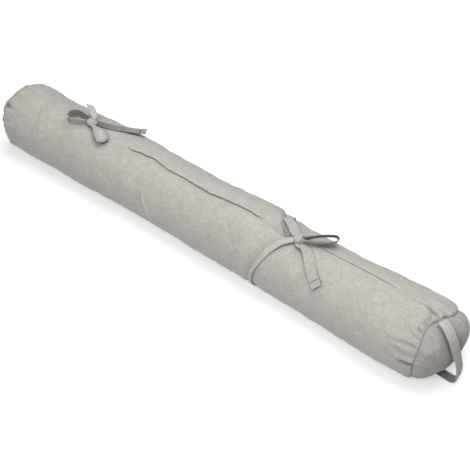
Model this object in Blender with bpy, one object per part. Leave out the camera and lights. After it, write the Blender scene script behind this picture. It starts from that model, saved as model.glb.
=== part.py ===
"""A draught excluder: a long filled linen roll that lies against the foot of a door.

The frame is in metres with +Z up. The origin is the middle of the flat foot, +X runs along the roll
to the end with the hanging loop, and -Y is the front. A place on the roll is given by x and by
`around`, the length round the roll from its top line, which is positive towards the front.
"""

import math
from collections import namedtuple

import bmesh
import bpy
import numpy as np

# Driving sizes of the filled roll
HALF_LENGTH = 0.420
HALF_WIDTH = 0.0627
HALF_HEIGHT = 0.05985
FOOT_SINK = 0.00475
FOOT_BEND = 0.0024
MEAN_RADIUS = (HALF_WIDTH + HALF_HEIGHT) / 2
ROUND = 2 * math.pi * MEAN_RADIUS
LEFT_BULGE = 0.0195
RIGHT_BULGE = 0.0405
BULGE_POWER = 2.15
SLACK_SHARE = 0.26
SLACK_TURN = math.radians(118)
SKEW_REACH = 0.045
DRAWN_REACH = 0.020

# Cloth
TIE_THICKNESS = 0.0012
STRAP_THICKNESS = 0.0016
TIE_WIDTH = 0.016
STRAP_WIDTH = 0.015
CLEAR = 0.0004
SEAM_DRAW = 0.0022
SEAM_REACH = 0.005
PUCKER_DEPTH = 0.0013
PUCKER_REACH = 0.016
LEFT_PUCKER_PHASE = 2.1
RIGHT_PUCKER_PHASE = 0.4
PANEL_PUCKER_DEPTH = 0.0006
PANEL_PUCKERS = 11
LAP_STEP = 0.0026
LAP_FADE = 0.070
LAP_EDGE_TURN = math.radians(0.55)
GROOVE_DEPTH = 0.0022
GROOVE_MARGIN = 0.0036
GROOVE_SIDE = 0.009
GROOVE_LEAVES = 0.0035
LAID_CLEAR = 0.0009

# Mesh steps
POINTS_AROUND = 48
SEAM_RINGS = (0.0, 0.003, 0.009, 0.020)
COARSE_STEP = 0.026
FINE_STEP = 0.0055
FINE_FROM = 0.112
FINE_TO = 0.190
BULGE_RINGS = 9
LAST_RISE = math.radians(84)
RISE_CROWDING = 1.5
TIE_STEP = 0.006
BAND_STEP = 0.004
LOBE_STEP = 0.0045
FLAT_PARTS = 2
ROUNDED_PARTS = 4
SHARP_ANGLE = math.radians(40)

Girth = namedtuple("Girth", "x fullness shift")
Edge = namedtuple("Edge", "x around step")
Skew = namedtuple("Skew", "degrees offset drawn")
Wave = namedtuple("Wave", "share count phases")
Fold = namedtuple("Fold", "x around heading length width height")
Laid = namedtuple("Laid", "x around lift width tilt")
Free = namedtuple("Free", "x y z side_x side_y side_z width crown")

# How full the filling leaves the roll, and how far it wanders to the back (+) or front (-)
GIRTHS = [
    Girth(-0.420, 1.018, 0.0000),
    Girth(-0.390, 1.011, -0.0004),
    Girth(-0.350, 0.993, -0.0016),
    Girth(-0.310, 0.996, -0.0003),
    Girth(-0.270, 0.999, -0.0001),
    Girth(-0.230, 1.016, 0.0006),
    Girth(-0.190, 1.012, 0.0018),
    Girth(-0.140, 0.996, 0.0029),
    Girth(-0.090, 0.974, 0.0030),
    Girth(-0.040, 0.970, 0.0026),
    Girth(0.010, 0.984, 0.0012),
    Girth(0.060, 1.007, 0.0016),
    Girth(0.100, 1.017, 0.0024),
    Girth(0.130, 1.010, 0.0005),
    Girth(0.150, 0.991, 0.0000),
    Girth(0.170, 0.976, -0.0002),
    Girth(0.195, 0.973, -0.0001),
    Girth(0.220, 0.976, -0.0002),
    Girth(0.250, 0.976, -0.0011),
    Girth(0.290, 0.994, -0.0027),
    Girth(0.330, 1.030, -0.0032),
    Girth(0.370, 1.043, -0.0034),
    Girth(0.400, 1.034, -0.0016),
    Girth(0.420, 1.016, -0.0001),
]

# The closure along the top: where its edge runs, and how far the lap stands up behind that edge
CLOSURE = [
    Edge(-0.420, -0.0030, 0.0000),
    Edge(-0.340, -0.0010, 0.0000),
    Edge(-0.192, 0.0030, 0.0000),
    Edge(-0.168, 0.0015, 0.0002),
    Edge(-0.156, 0.0070, 0.0014),
    Edge(-0.142, 0.0052, LAP_STEP),
    Edge(-0.106, 0.0005, LAP_STEP),
    Edge(-0.072, 0.0048, 0.0022),
    Edge(-0.025, 0.0040, LAP_STEP),
    Edge(0.014, 0.0062, LAP_STEP),
    Edge(0.065, 0.0032, 0.0024),
    Edge(0.117, 0.0040, 0.0022),
    Edge(0.151, 0.0024, 0.0008),
    Edge(0.180, 0.0000, 0.0000),
    Edge(0.208, -0.0060, 0.0000),
    Edge(0.290, -0.0100, 0.0000),
    Edge(0.347, -0.0050, 0.0000),
    Edge(0.395, -0.0010, 0.0000),
    Edge(0.420, 0.0055, 0.0000),
]

# An end seam isn't square to the roll: how far out each part of it is pulled, and how far it is drawn in.
# The right one's top is pulled out towards the back and its front shoulder sinks in.
RIGHT_SEAM_SKEW = [
    Skew(-180, 0.0000, 0.0000),
    Skew(-110, 0.0020, 0.0006),
    Skew(-70, 0.0065, 0.0016),
    Skew(-45, 0.0115, 0.0028),
    Skew(-25, 0.0150, 0.0022),
    Skew(-14, 0.0140, 0.0010),
    Skew(-7, 0.0108, 0.0002),
    Skew(-3, 0.0080, 0.0000),
    Skew(9, 0.0025, 0.0000),
    Skew(17, -0.0025, 0.0000),
    Skew(27, -0.0040, 0.0000),
    Skew(39, -0.0030, 0.0000),
    Skew(58, 0.0000, 0.0000),
    Skew(180, 0.0000, 0.0000),
]
LEFT_SEAM_SKEW = [
    Skew(-180, 0.0000, 0.0000),
    Skew(-60, -0.0010, 0.0000),
    Skew(0, -0.0010, 0.0000),
    Skew(22, 0.0008, 0.0000),
    Skew(38, 0.0034, 0.0000),
    Skew(50, 0.0034, 0.0000),
    Skew(62, 0.0012, 0.0000),
    Skew(76, -0.0032, 0.0000),
    Skew(92, -0.0040, 0.0000),
    Skew(112, -0.0026, 0.0000),
    Skew(145, 0.0000, 0.0000),
    Skew(180, 0.0000, 0.0000),
]

# The uneven puckers round an end seam
PUCKERS = [
    Wave(0.6, 9, 1),
    Wave(0.4, 14, 2),
]

# Soft folds (+) and hollows (-); the heading is degrees from the roll's length towards the front
FOLDS = [
    Fold(0.398, 0.090, 4, 0.046, 0.0125, -0.0026),
    Fold(0.392, 0.062, 8, 0.050, 0.0175, 0.0016),
    Fold(0.376, 0.034, 30, 0.060, 0.0200, -0.0012),
    Fold(0.400, -0.030, -12, 0.050, 0.0175, -0.0018),
    Fold(0.385, -0.075, 5, 0.060, 0.0187, -0.0018),
    Fold(-0.080, 0.086, 50, 0.050, 0.0137, 0.0012),
    Fold(-0.060, 0.060, 65, 0.070, 0.0200, -0.0010),
    Fold(0.052, 0.016, 62, 0.044, 0.0150, 0.0010),
    Fold(0.205, 0.032, 62, 0.080, 0.0250, -0.0016),
    Fold(0.118, 0.060, 60, 0.080, 0.0225, 0.0016),
    Fold(0.112, -0.070, -62, 0.080, 0.0225, 0.0014),
    Fold(0.168, -0.090, -70, 0.090, 0.0225, 0.0014),
    Fold(-0.290, 0.040, 58, 0.080, 0.0250, -0.0014),
    Fold(-0.404, 0.048, 10, 0.050, 0.0163, -0.0020),
    Fold(-0.400, 0.010, -8, 0.050, 0.0163, 0.0014),
    Fold(-0.398, -0.050, -6, 0.056, 0.0175, -0.0018),
    Fold(-0.180, -0.080, -30, 0.090, 0.0250, 0.0012),
    Fold(0.290, -0.080, 25, 0.090, 0.0250, -0.0012),
]

# The tie that goes round the roll, from the back of its knot, down, under and up the front.
# Where `lift` is 0 it lies in its groove, and above that it is stretched clear of the roll.
RIGHT_BAND = [
    Laid(0.1794, -0.0024, 0.0036, 0.0075, 0),
    Laid(0.1735, -0.0060, 0.0030, 0.0090, 0),
    Laid(0.1655, -0.0130, 0.0018, 0.0105, 0),
    Laid(0.1560, -0.0220, 0.0008, 0.0120, 0),
    Laid(0.1460, -0.0330, 0.0000, 0.0130, 0),
    Laid(0.1385, -0.0460, 0.0000, 0.0135, 0),
    Laid(0.1350, -0.0640, 0.0000, 0.0135, 0),
    Laid(0.1342, -0.1000, 0.0000, 0.0135, 0),
    Laid(0.1350, -0.1500, 0.0000, 0.0120, 0),
    Laid(0.1355, -0.1925, 0.0000, 0.0105, 0),
    Laid(0.1357, -0.2350, 0.0000, 0.0090, 0),
    Laid(0.1380, -0.2700, 0.0000, 0.0080, 0),
    Laid(0.1398, -0.2930, 0.0000, 0.0078, 0),
    Laid(0.1442, -0.3120, 0.0000, 0.0080, 0),
    Laid(0.1492, -0.3290, 0.0002, 0.0088, 4),
    Laid(0.1552, -0.3460, 0.0008, 0.0095, 8),
    Laid(0.1648, -0.3640, 0.0022, 0.0100, 10),
    Laid(0.1785, -0.3775, 0.0030, 0.0090, 6),
]

# The short tail of the right bow lies over the top of the band, towards the back
RIGHT_SHORT_TAIL = [
    Laid(0.1786, -0.0002, 0.0056, 0.0105, 0),
    Laid(0.1738, -0.0034, 0.0057, 0.0145, 3),
    Laid(0.1680, -0.0078, 0.0054, TIE_WIDTH, 4),
    Laid(0.1605, -0.0132, 0.0048, TIE_WIDTH, 3),
    Laid(0.1518, -0.0197, 0.0039, TIE_WIDTH, 1),
    Laid(0.1430, -0.0262, 0.0030, TIE_WIDTH, 0),
]

RIGHT_TAIL = [
    Laid(0.1900, 0.0106, 0.0024, 0.0090, 0),
    Laid(0.1980, 0.0100, 0.0026, 0.0120, -12),
    Laid(0.2110, 0.0160, 0.0014, 0.0155, -8),
    Laid(0.2260, 0.0320, 0.0006, TIE_WIDTH, -2),
    Laid(0.2400, 0.0450, 0.0008, TIE_WIDTH, 0),
    Laid(0.2500, 0.0515, 0.0020, TIE_WIDTH, 0),
]

RIGHT_LOOP = [
    Free(0.1936, 0.0015, 0.1190, 0.10, -0.20, 0.97, 0.0080, 0),
    Free(0.2010, 0.0072, 0.1220, 0.20, -0.30, 0.93, 0.0120, 0),
    Free(0.2112, 0.0154, 0.1243, 0.28, -0.38, 0.88, 0.0140, 0),
    Free(0.2220, 0.0242, 0.1243, 0.32, -0.42, 0.84, 0.0150, 0),
    Free(0.2308, 0.0302, 0.1230, 0.36, -0.44, 0.82, 0.0150, 0),
    Free(0.2350, 0.0286, 0.1208, 0.36, -0.44, 0.82, 0.0150, 0),
    Free(0.2328, 0.0220, 0.1193, 0.34, -0.42, 0.84, 0.0150, 0),
    Free(0.2234, 0.0128, 0.1183, 0.30, -0.34, 0.88, 0.0145, 0),
    Free(0.2130, 0.0052, 0.1183, 0.20, -0.26, 0.94, 0.0130, 0),
    Free(0.2028, -0.0002, 0.1183, 0.10, -0.18, 0.98, 0.0105, 0),
    Free(0.1938, -0.0040, 0.1175, 0.05, -0.10, 0.99, 0.0080, 0),
]

LEFT_LOOP = [
    Free(-0.2548, 0.0044, 0.1222, 0.00, 0.20, 0.98, 0.0080, 0),
    Free(-0.2640, 0.0046, 0.1222, -0.02, 0.12, 0.99, 0.0110, 0),
    Free(-0.2770, 0.0052, 0.1222, -0.06, 0.08, 0.99, 0.0125, 0),
    Free(-0.2875, 0.0020, 0.1222, -0.12, 0.04, 0.99, 0.0130, 0),
    Free(-0.2922, -0.0055, 0.1218, -0.14, -0.04, 0.99, 0.0130, 0),
    Free(-0.2892, -0.0132, 0.1214, -0.10, -0.12, 0.98, 0.0130, 0),
    Free(-0.2810, -0.0160, 0.1212, 0.00, -0.16, 0.98, 0.0126, 0),
    Free(-0.2710, -0.0122, 0.1212, 0.00, -0.14, 0.98, 0.0115, 0),
    Free(-0.2620, -0.0066, 0.1210, 0.00, -0.10, 0.99, 0.0100, 0),
    Free(-0.2548, -0.0018, 0.1207, 0.00, -0.10, 0.99, 0.0080, 0),
]

# The second loop has slumped forwards and opened out into a rounded lobe
LEFT_FOLDED_LOOP = [
    Free(-0.2425, -0.0045, 0.1235, 0.37, 0.93, 0.00, 0.0065, 0.0006),
    Free(-0.2335, -0.0078, 0.1252, 0.37, 0.93, 0.00, 0.0080, 0.0012),
    Free(-0.2235, -0.0116, 0.1272, 0.37, 0.93, 0.00, 0.0150, 0.0030),
    Free(-0.2125, -0.0160, 0.1274, 0.37, 0.93, 0.00, 0.0212, 0.0044),
    Free(-0.2030, -0.0197, 0.1247, 0.37, 0.93, 0.00, 0.0216, 0.0040),
    Free(-0.1990, -0.0212, 0.1203, 0.37, 0.93, 0.00, 0.0180, 0.0024),
    Free(-0.2028, -0.0196, 0.1177, 0.37, 0.93, 0.00, 0.0140, 0.0000),
    Free(-0.2140, -0.0152, 0.1173, 0.37, 0.93, 0.00, 0.0115, 0.0000),
    Free(-0.2290, -0.0090, 0.1178, 0.37, 0.93, 0.00, 0.0085, 0.0000),
    Free(-0.2420, -0.0040, 0.1190, 0.37, 0.93, 0.00, 0.0065, 0.0000),
]

LEFT_SHORT_TAIL = [
    Free(-0.2492, 0.0082, 0.1249, 0.90, 0.30, -0.25, 0.0080, 0),
    Free(-0.2535, 0.0122, 0.1285, 0.80, 0.45, -0.35, 0.0120, 0),
    Free(-0.2615, 0.0168, 0.1320, 0.60, 0.60, -0.50, 0.0145, 0),
    Free(-0.2712, 0.0216, 0.1340, 0.40, 0.65, -0.62, TIE_WIDTH, 0),
]

LEFT_LONG_TAIL = [
    Free(-0.2413, 0.0058, 0.1215, -0.30, 0.95, 0.00, 0.0080, 0.0010),
    Free(-0.2300, 0.0110, 0.1195, -0.38, 0.92, -0.06, 0.0125, 0.0012),
    Free(-0.2140, 0.0182, 0.1176, -0.42, 0.88, -0.20, 0.0150, 0.0010),
    Free(-0.1960, 0.0285, 0.1152, -0.43, 0.87, -0.24, TIE_WIDTH, 0.0006),
    Free(-0.1800, 0.0380, 0.1130, -0.43, 0.88, -0.20, TIE_WIDTH, 0.0003),
    Free(-0.1662, 0.0466, 0.1120, -0.43, 0.90, -0.12, TIE_WIDTH, 0.0000),
]

# The hanging loop's middle line, outside the right end panel: down its face, to the floor and back
HANGING_LOOP = [
    Free(0.4287, -0.0085, 0.1164, 0.47, 0.88, 0.10, STRAP_WIDTH, 0),
    Free(0.4395, -0.0130, 0.1135, 0.47, 0.88, 0.06, STRAP_WIDTH, 0),
    Free(0.4502, -0.0160, 0.1030, 0.46, 0.88, 0.00, STRAP_WIDTH, 0),
    Free(0.4576, -0.0155, 0.0870, 0.38, 0.92, 0.00, STRAP_WIDTH, 0),
    Free(0.4628, -0.0130, 0.0700, 0.28, 0.96, 0.00, STRAP_WIDTH, 0),
    Free(0.4668, -0.0095, 0.0540, 0.18, 0.98, 0.00, STRAP_WIDTH, 0),
    Free(0.4696, -0.0060, 0.0370, 0.08, 1.00, 0.00, STRAP_WIDTH, 0),
    Free(0.4710, -0.0035, 0.0210, 0.02, 1.00, 0.00, STRAP_WIDTH, 0),
    Free(0.4698, -0.0028, 0.0078, 0.00, 1.00, 0.00, STRAP_WIDTH, 0),
    Free(0.4650, -0.0030, 0.0024, 0.00, 1.00, 0.00, STRAP_WIDTH, 0),
    Free(0.4570, -0.0026, 0.0012, 0.00, 1.00, 0.00, STRAP_WIDTH, 0),
    Free(0.4460, -0.0020, 0.0012, 0.00, 1.00, 0.00, STRAP_WIDTH, 0),
    Free(0.4336, -0.0020, 0.0012, 0.00, 1.00, 0.00, STRAP_WIDTH, 0),
]

LEFT_KNOT = (-0.248, 0.002, 0.1212)
RIGHT_KNOT = (0.186, -0.0015, 0.1163)
KNOT_HALF_SIZE = (0.0076, 0.0070, 0.0052)
KNOT_LUMPS = 0.09
KNOT_LOBES = 3
KNOT_TWIST = 2.5
KNOT_SEGMENTS = 14
KNOT_RINGS = 8

LINEN = (0.50, 0.47, 0.435, 1.0)
LINEN_ROUGHNESS = 0.92


def smooth_step(value):
    value = min(max(value, 0.0), 1.0)
    return value * value * (3 - 2 * value)


def slopes_of(places, values):
    """The slope at each row of a smooth curve through all the rows."""
    inner = (values[2:] - values[:-2]) / (places[2:] - places[:-2])[:, None]
    first = (values[1] - values[0]) / (places[1] - places[0])
    last = (values[-1] - values[-2]) / (places[-1] - places[-2])
    return np.vstack([first, inner, last])


def curve_through(places, values, place):
    """A smooth curve through the rows, read at one place."""
    index = int(np.clip(np.searchsorted(places, place) - 1, 0, len(places) - 2))
    span = places[index + 1] - places[index]
    u = min(max((place - places[index]) / span, 0.0), 1.0)
    slopes = slopes_of(places, values)
    return (
        (2 * u**3 - 3 * u**2 + 1) * values[index]
        + (u**3 - 2 * u**2 + u) * span * slopes[index]
        + (3 * u**2 - 2 * u**3) * values[index + 1]
        + (u**3 - u**2) * span * slopes[index + 1]
    )


def girth_at(x):
    rows = np.array(GIRTHS)
    return curve_through(rows[:, 0], rows[:, 1:], x)


def closure_at(x):
    rows = np.array(CLOSURE)
    return [np.interp(x, rows[:, 0], rows[:, column]) for column in (1, 2)]


def band_at(around):
    """The band's x and width where it passes this far round the roll."""
    rows = np.array(RIGHT_BAND)[::-1]
    back = -(ROUND - around) if around > rows[-1, 1] else around
    return [np.interp(back, rows[:, 1], rows[:, column]) for column in (0, 3, 2)]


def wrapped(turn):
    return (turn + math.pi) % (2 * math.pi) - math.pi


def lap(x, turn):
    """The closure's lap stands up behind its edge and fades towards the back."""
    edge, step = closure_at(x)
    behind = -wrapped(turn - edge / MEAN_RADIUS) * MEAN_RADIUS
    if behind < -1e-6 or behind > LAP_FADE:
        return 0.0
    return step * smooth_step(1 - behind / LAP_FADE)


def groove(x, turn):
    """How much of the tie's groove there is here, from 0 to 1, and the relief of its flat floor."""
    centre, width, lift = band_at(wrapped(turn) * MEAN_RADIUS)
    beside = abs(x - centre) - width / 2
    share = smooth_step(1 - lift / GROOVE_LEAVES) * smooth_step(1 - (beside - GROOVE_MARGIN) / GROOVE_SIDE)
    fullness, shift = girth_at(x)
    band_fullness, band_shift = girth_at(centre)
    level = HALF_HEIGHT * (band_fullness - fullness) + (shift - band_shift) * math.sin(turn)
    return share, level - GROOVE_DEPTH


def hump(distance, size):
    return math.exp(-((2 * distance / size) ** 2))


def folds(x, turn):
    height = 0.0
    for fold in FOLDS:
        along = x - fold.x
        across = wrapped(turn - fold.around / MEAN_RADIUS) * MEAN_RADIUS
        heading = math.radians(fold.heading)
        down = along * math.cos(heading) + across * math.sin(heading)
        beside = across * math.cos(heading) - along * math.sin(heading)
        height += fold.height * hump(down, fold.length) * hump(beside, fold.width)
    return height


def end_seam(x, turn):
    """The end seams draw the cloth in, with uneven puckers that run in from them."""
    inside = HALF_LENGTH - abs(x)
    phase = RIGHT_PUCKER_PHASE if x > 0 else LEFT_PUCKER_PHASE
    pucker = sum(wave.share * math.sin(wave.count * turn + wave.phases * phase) for wave in PUCKERS)
    drawn_in = SEAM_DRAW * math.exp(-inside / SEAM_REACH)
    return PUCKER_DEPTH * pucker * math.exp(-inside / PUCKER_REACH) - drawn_in


def skew_at(x, turn):
    """How far out the nearer end seam is pulled in this direction, and how far it is drawn in."""
    rows = np.array(RIGHT_SEAM_SKEW if x > 0 else LEFT_SEAM_SKEW)
    return [np.interp(math.degrees(wrapped(turn)), rows[:, 0], rows[:, column]) for column in (1, 2)]


def centre_height(fullness):
    return HALF_HEIGHT * fullness - FOOT_SINK


def flattened(z, floor):
    """The height z kept above the floor, with a soft bend where the roll meets it."""
    over = z - floor
    if abs(over) < FOOT_BEND:
        return floor + (over + FOOT_BEND) ** 2 / (4 * FOOT_BEND)
    return max(z, floor)


def roll_point(x, turn, lift, floor):
    """A point at this lift over the plain section at x, kept above the floor."""
    fullness, shift = girth_at(x)
    y = shift - (HALF_WIDTH * fullness + lift) * math.sin(turn)
    z = centre_height(fullness) + (HALF_HEIGHT * fullness + lift) * math.cos(turn)
    return np.array([x, y, flattened(z, floor)])


def cloth_point(x, turn):
    """A point on the cover, with its lap, folds, puckers and groove."""
    share, floor = groove(x, turn)
    inside = HALF_LENGTH - abs(x)
    offset, drawn = skew_at(x, turn)
    relief = lap(x, turn) + folds(x, turn) + end_seam(x, turn)
    relief -= drawn * smooth_step(1 - inside / DRAWN_REACH)
    relief = relief * (1 - share) + floor * share
    point = roll_point(x, turn, relief, GROOVE_DEPTH * share)
    point[0] += math.copysign(1, x) * offset * smooth_step(1 - inside / SKEW_REACH)
    return point


def turns_at(x):
    """The directions of a ring's points: two of them make the closure's edge."""
    edge = closure_at(x)[0] / MEAN_RADIUS
    step = (2 * math.pi - LAP_EDGE_TURN) / (POINTS_AROUND - 1)
    return [edge] + [edge + LAP_EDGE_TURN + step * index for index in range(POINTS_AROUND - 1)]


def stations():
    """Where the cover's rings stand: close together at the band and at the end seams."""
    ends = [HALF_LENGTH - inside for inside in SEAM_RINGS]
    left = [-x for x in ends]
    right = ends[::-1]
    places = left + spread(left[-1], FINE_FROM, COARSE_STEP)[1:-1]
    places += spread(FINE_FROM, FINE_TO, FINE_STEP)
    places += spread(FINE_TO, right[0], COARSE_STEP)[1:-1] + right
    return places


def spread(first, last, step):
    count = max(1, round((last - first) / step))
    return [first + (last - first) * index / count for index in range(count + 1)]


def linen(name):
    material = bpy.data.materials.get(name)
    if material is None:
        material = bpy.data.materials.new(name)
        material.use_nodes = True
        shader = material.node_tree.nodes["Principled BSDF"]
        shader.inputs["Base Color"].default_value = LINEN
        shader.inputs["Roughness"].default_value = LINEN_ROUGHNESS
        shader.inputs["Metallic"].default_value = 0.0
    return material


def add_mesh(name, shape, collection):
    """Puts a bmesh into the scene as one smooth, outward-facing object."""
    bmesh.ops.recalc_face_normals(shape, faces=shape.faces)
    mesh = bpy.data.meshes.new(name)
    shape.to_mesh(mesh)
    shape.free()
    mesh.shade_smooth()
    mesh.set_sharp_from_angle(angle=SHARP_ANGLE)
    mesh.materials.append(linen(name + "_linen"))
    piece = bpy.data.objects.new(name, mesh)
    collection.objects.link(piece)
    return piece


def loft(name, rings, collection):
    """Joins rings of equal length by quads and closes each end with a fan to its middle."""
    shape = bmesh.new()
    loops = [[shape.verts.new(point) for point in ring] for ring in rings]
    count = len(loops[0])
    for near, far in zip(loops, loops[1:]):
        for index in range(count):
            following = (index + 1) % count
            shape.faces.new((near[index], near[following], far[following], far[index]))
    for loop in (loops[0], loops[-1]):
        middle = shape.verts.new(sum((vert.co for vert in loop), loop[0].co * 0) / count)
        for index in range(count):
            shape.faces.new((loop[index], loop[(index + 1) % count], middle))
    return add_mesh(name, shape, collection)


def make_cover_body(collection):
    rings = [[cloth_point(x, turn) for turn in turns_at(x)] for x in stations()]
    return loft("cover_body", rings, collection)


def panel_point(side, depth, turn, rise, clear):
    """A point on an end panel: rise runs from 0 at the seam to 90 degrees at the middle.

    The filling leaves the panel slacker at the front of the foot than elsewhere.
    """
    rim = cloth_point(side * HALF_LENGTH, turn)
    fullness, shift = girth_at(side * HALF_LENGTH)
    middle = np.array([side * HALF_LENGTH, shift, centre_height(fullness)])
    reach = math.cos(rise) ** (2 / BULGE_POWER)
    slack = SLACK_SHARE * reach * max(0.0, math.cos(turn - SLACK_TURN)) ** 2
    out = depth * (1 - slack) * math.sin(rise) ** (2 / BULGE_POWER)
    pucker = PANEL_PUCKER_DEPTH * math.sin(PANEL_PUCKERS * turn + side) * math.sin(2 * rise) * reach**3
    point = middle + (rim - middle) * reach
    point[0] += side * (out + clear + pucker)
    point[2] = max(point[2], 0.0)
    return point


def make_end_panel(name, side, depth, collection):
    turns = turns_at(side * HALF_LENGTH)
    rises = [LAST_RISE * (index / BULGE_RINGS) ** RISE_CROWDING for index in range(BULGE_RINGS + 1)]
    rings = [[panel_point(side, depth, turn, rise, CLEAR) for turn in turns] for rise in rises]
    return loft(name, rings, collection)


def sampled(rows, step):
    """Rows at an even spacing on a smooth curve through the given rows."""
    rows = np.array(rows)
    gaps = np.linalg.norm(np.diff(rows[:, :3], axis=0), axis=1)
    places = np.concatenate([[0.0], np.cumsum(gaps)])
    count = max(3, math.ceil(places[-1] / step))
    return np.array([curve_through(places, rows, places[-1] * index / count) for index in range(count + 1)])


def directions(points):
    ahead = np.gradient(points, axis=0)
    return ahead / np.linalg.norm(ahead, axis=1)[:, None]


def turned(vector, axis, degrees):
    angle = math.radians(degrees)
    return vector * math.cos(angle) + np.cross(axis, vector) * math.sin(angle)


def strip(name, points, sides, widths, crowns, thickness, parts_across, collection):
    """A ribbon along the points: `sides` point across it, and `crowns` round its back."""
    rings = []
    for point, side, ahead, width, crown in zip(points, sides, directions(points), widths, crowns):
        side = side - ahead * side.dot(ahead)
        side = side / np.linalg.norm(side)
        face = np.cross(ahead, side)
        across = np.linspace(-1, 1, parts_across + 1)
        middle = [point + side * (width / 2 * u) + face * (crown * (1 - 2 * u * u)) for u in across]
        upper = [place + face * thickness / 2 for place in middle]
        lower = [place - face * thickness / 2 for place in reversed(middle)]
        rings.append(upper + lower)
    return loft(name, rings, collection)


def laid_strip(name, rows, step, collection):
    """A tie that follows the roll. Its lift is over the floor of its groove."""
    points = []
    outwards = []
    table = sampled(rows, step)
    for x, around, lift, _, _ in table:
        turn = around / MEAN_RADIUS
        over = lift - GROOVE_DEPTH * groove(x, turn)[0] + LAID_CLEAR + TIE_THICKNESS / 2
        point = roll_point(x, turn, over, CLEAR + TIE_THICKNESS / 2)
        fullness, shift = girth_at(x)
        points.append(point)
        outwards.append(point - np.array([x, shift, centre_height(fullness)]))
    points = np.array(points)
    sides = []
    for outward, ahead, tilt in zip(outwards, directions(points), table[:, 4]):
        side = np.cross(outward, ahead)
        sides.append(turned(side / np.linalg.norm(side), ahead, tilt))
    crowns = np.zeros(len(points))
    return strip(name, points, sides, table[:, 3], crowns, TIE_THICKNESS, FLAT_PARTS, collection)


def free_strip(name, rows, thickness, parts_across, step, collection):
    table = sampled(rows, step)
    return strip(
        name, table[:, :3], table[:, 3:6], table[:, 6], table[:, 7], thickness, parts_across, collection
    )


def make_knot(name, centre, collection):
    """The ribbon wound on itself: a flattened lump with soft turns."""
    shape = bmesh.new()
    bmesh.ops.create_uvsphere(shape, u_segments=KNOT_SEGMENTS, v_segments=KNOT_RINGS, radius=1.0)
    for vert in shape.verts:
        turn = math.atan2(vert.co.y, vert.co.x)
        swell = 1 - KNOT_LUMPS + KNOT_LUMPS * math.cos(KNOT_LOBES * turn + KNOT_TWIST * vert.co.z)
        for axis in range(3):
            vert.co[axis] = centre[axis] + vert.co[axis] * swell * KNOT_HALF_SIZE[axis]
    return add_mesh(name, shape, collection)


def clear_scene():
    for piece in list(bpy.data.objects):
        bpy.data.objects.remove(piece, do_unlink=True)


def main():
    clear_scene()
    collection = bpy.data.collections.new("Draught excluder")
    bpy.context.scene.collection.children.link(collection)
    make_cover_body(collection)
    make_end_panel("end_panel_left", -1, LEFT_BULGE, collection)
    make_end_panel("end_panel_right", 1, RIGHT_BULGE, collection)
    make_knot("left_bow_knot", LEFT_KNOT, collection)
    free_strip("left_bow_loop", LEFT_LOOP, TIE_THICKNESS, FLAT_PARTS, TIE_STEP, collection)
    free_strip("left_bow_folded_loop", LEFT_FOLDED_LOOP, TIE_THICKNESS, ROUNDED_PARTS, LOBE_STEP, collection)
    free_strip("left_bow_short_tail", LEFT_SHORT_TAIL, TIE_THICKNESS, FLAT_PARTS, TIE_STEP, collection)
    free_strip("left_bow_long_tail", LEFT_LONG_TAIL, TIE_THICKNESS, FLAT_PARTS, TIE_STEP, collection)
    make_knot("right_bow_knot", RIGHT_KNOT, collection)
    laid_strip("right_bow_band", RIGHT_BAND, BAND_STEP, collection)
    free_strip("right_bow_loop", RIGHT_LOOP, TIE_THICKNESS, FLAT_PARTS, TIE_STEP, collection)
    laid_strip("right_bow_short_tail", RIGHT_SHORT_TAIL, TIE_STEP, collection)
    laid_strip("right_bow_tail", RIGHT_TAIL, TIE_STEP, collection)
    free_strip("hanging_loop", HANGING_LOOP, STRAP_THICKNESS, FLAT_PARTS, TIE_STEP, collection)


main()
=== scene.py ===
"""The looks of the linen draught excluder: its cloth, seams, ties, floor, light and camera.

Metres, +Z up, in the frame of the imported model. A place on the roll is given by x and by `around`,
the length round the roll from its top line, which is positive towards the front. The tables that
shape the roll and the ties repeat the part's own.
"""

import math
from collections import namedtuple

import bmesh
import bpy
import numpy as np
from mathutils import Matrix, Vector, noise

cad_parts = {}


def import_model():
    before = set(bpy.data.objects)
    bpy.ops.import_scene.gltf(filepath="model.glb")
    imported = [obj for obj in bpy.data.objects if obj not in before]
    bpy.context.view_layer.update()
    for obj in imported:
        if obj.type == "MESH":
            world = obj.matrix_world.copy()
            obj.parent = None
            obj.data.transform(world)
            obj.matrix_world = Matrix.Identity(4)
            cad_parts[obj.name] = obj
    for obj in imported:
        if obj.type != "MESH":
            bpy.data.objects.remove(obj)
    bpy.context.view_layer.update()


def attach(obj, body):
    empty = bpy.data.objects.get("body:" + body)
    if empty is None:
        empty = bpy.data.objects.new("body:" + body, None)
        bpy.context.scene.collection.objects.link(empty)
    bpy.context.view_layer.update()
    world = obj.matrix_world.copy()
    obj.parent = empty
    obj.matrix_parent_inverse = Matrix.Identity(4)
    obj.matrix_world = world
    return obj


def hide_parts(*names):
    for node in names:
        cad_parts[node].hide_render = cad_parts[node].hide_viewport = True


# Driving sizes of the filled roll
HALF_LENGTH = 0.420
HALF_WIDTH = 0.0627
HALF_HEIGHT = 0.05985
FOOT_SINK = 0.00475
FOOT_BEND = 0.0024
MEAN_RADIUS = (HALF_WIDTH + HALF_HEIGHT) / 2
ROUND = 2 * math.pi * MEAN_RADIUS
LEFT_BULGE = 0.0195
RIGHT_BULGE = 0.0405
BULGE_POWER = 2.15
SLACK_SHARE = 0.26
SLACK_TURN = math.radians(118)
SKEW_REACH = 0.045
DRAWN_REACH = 0.020

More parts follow.
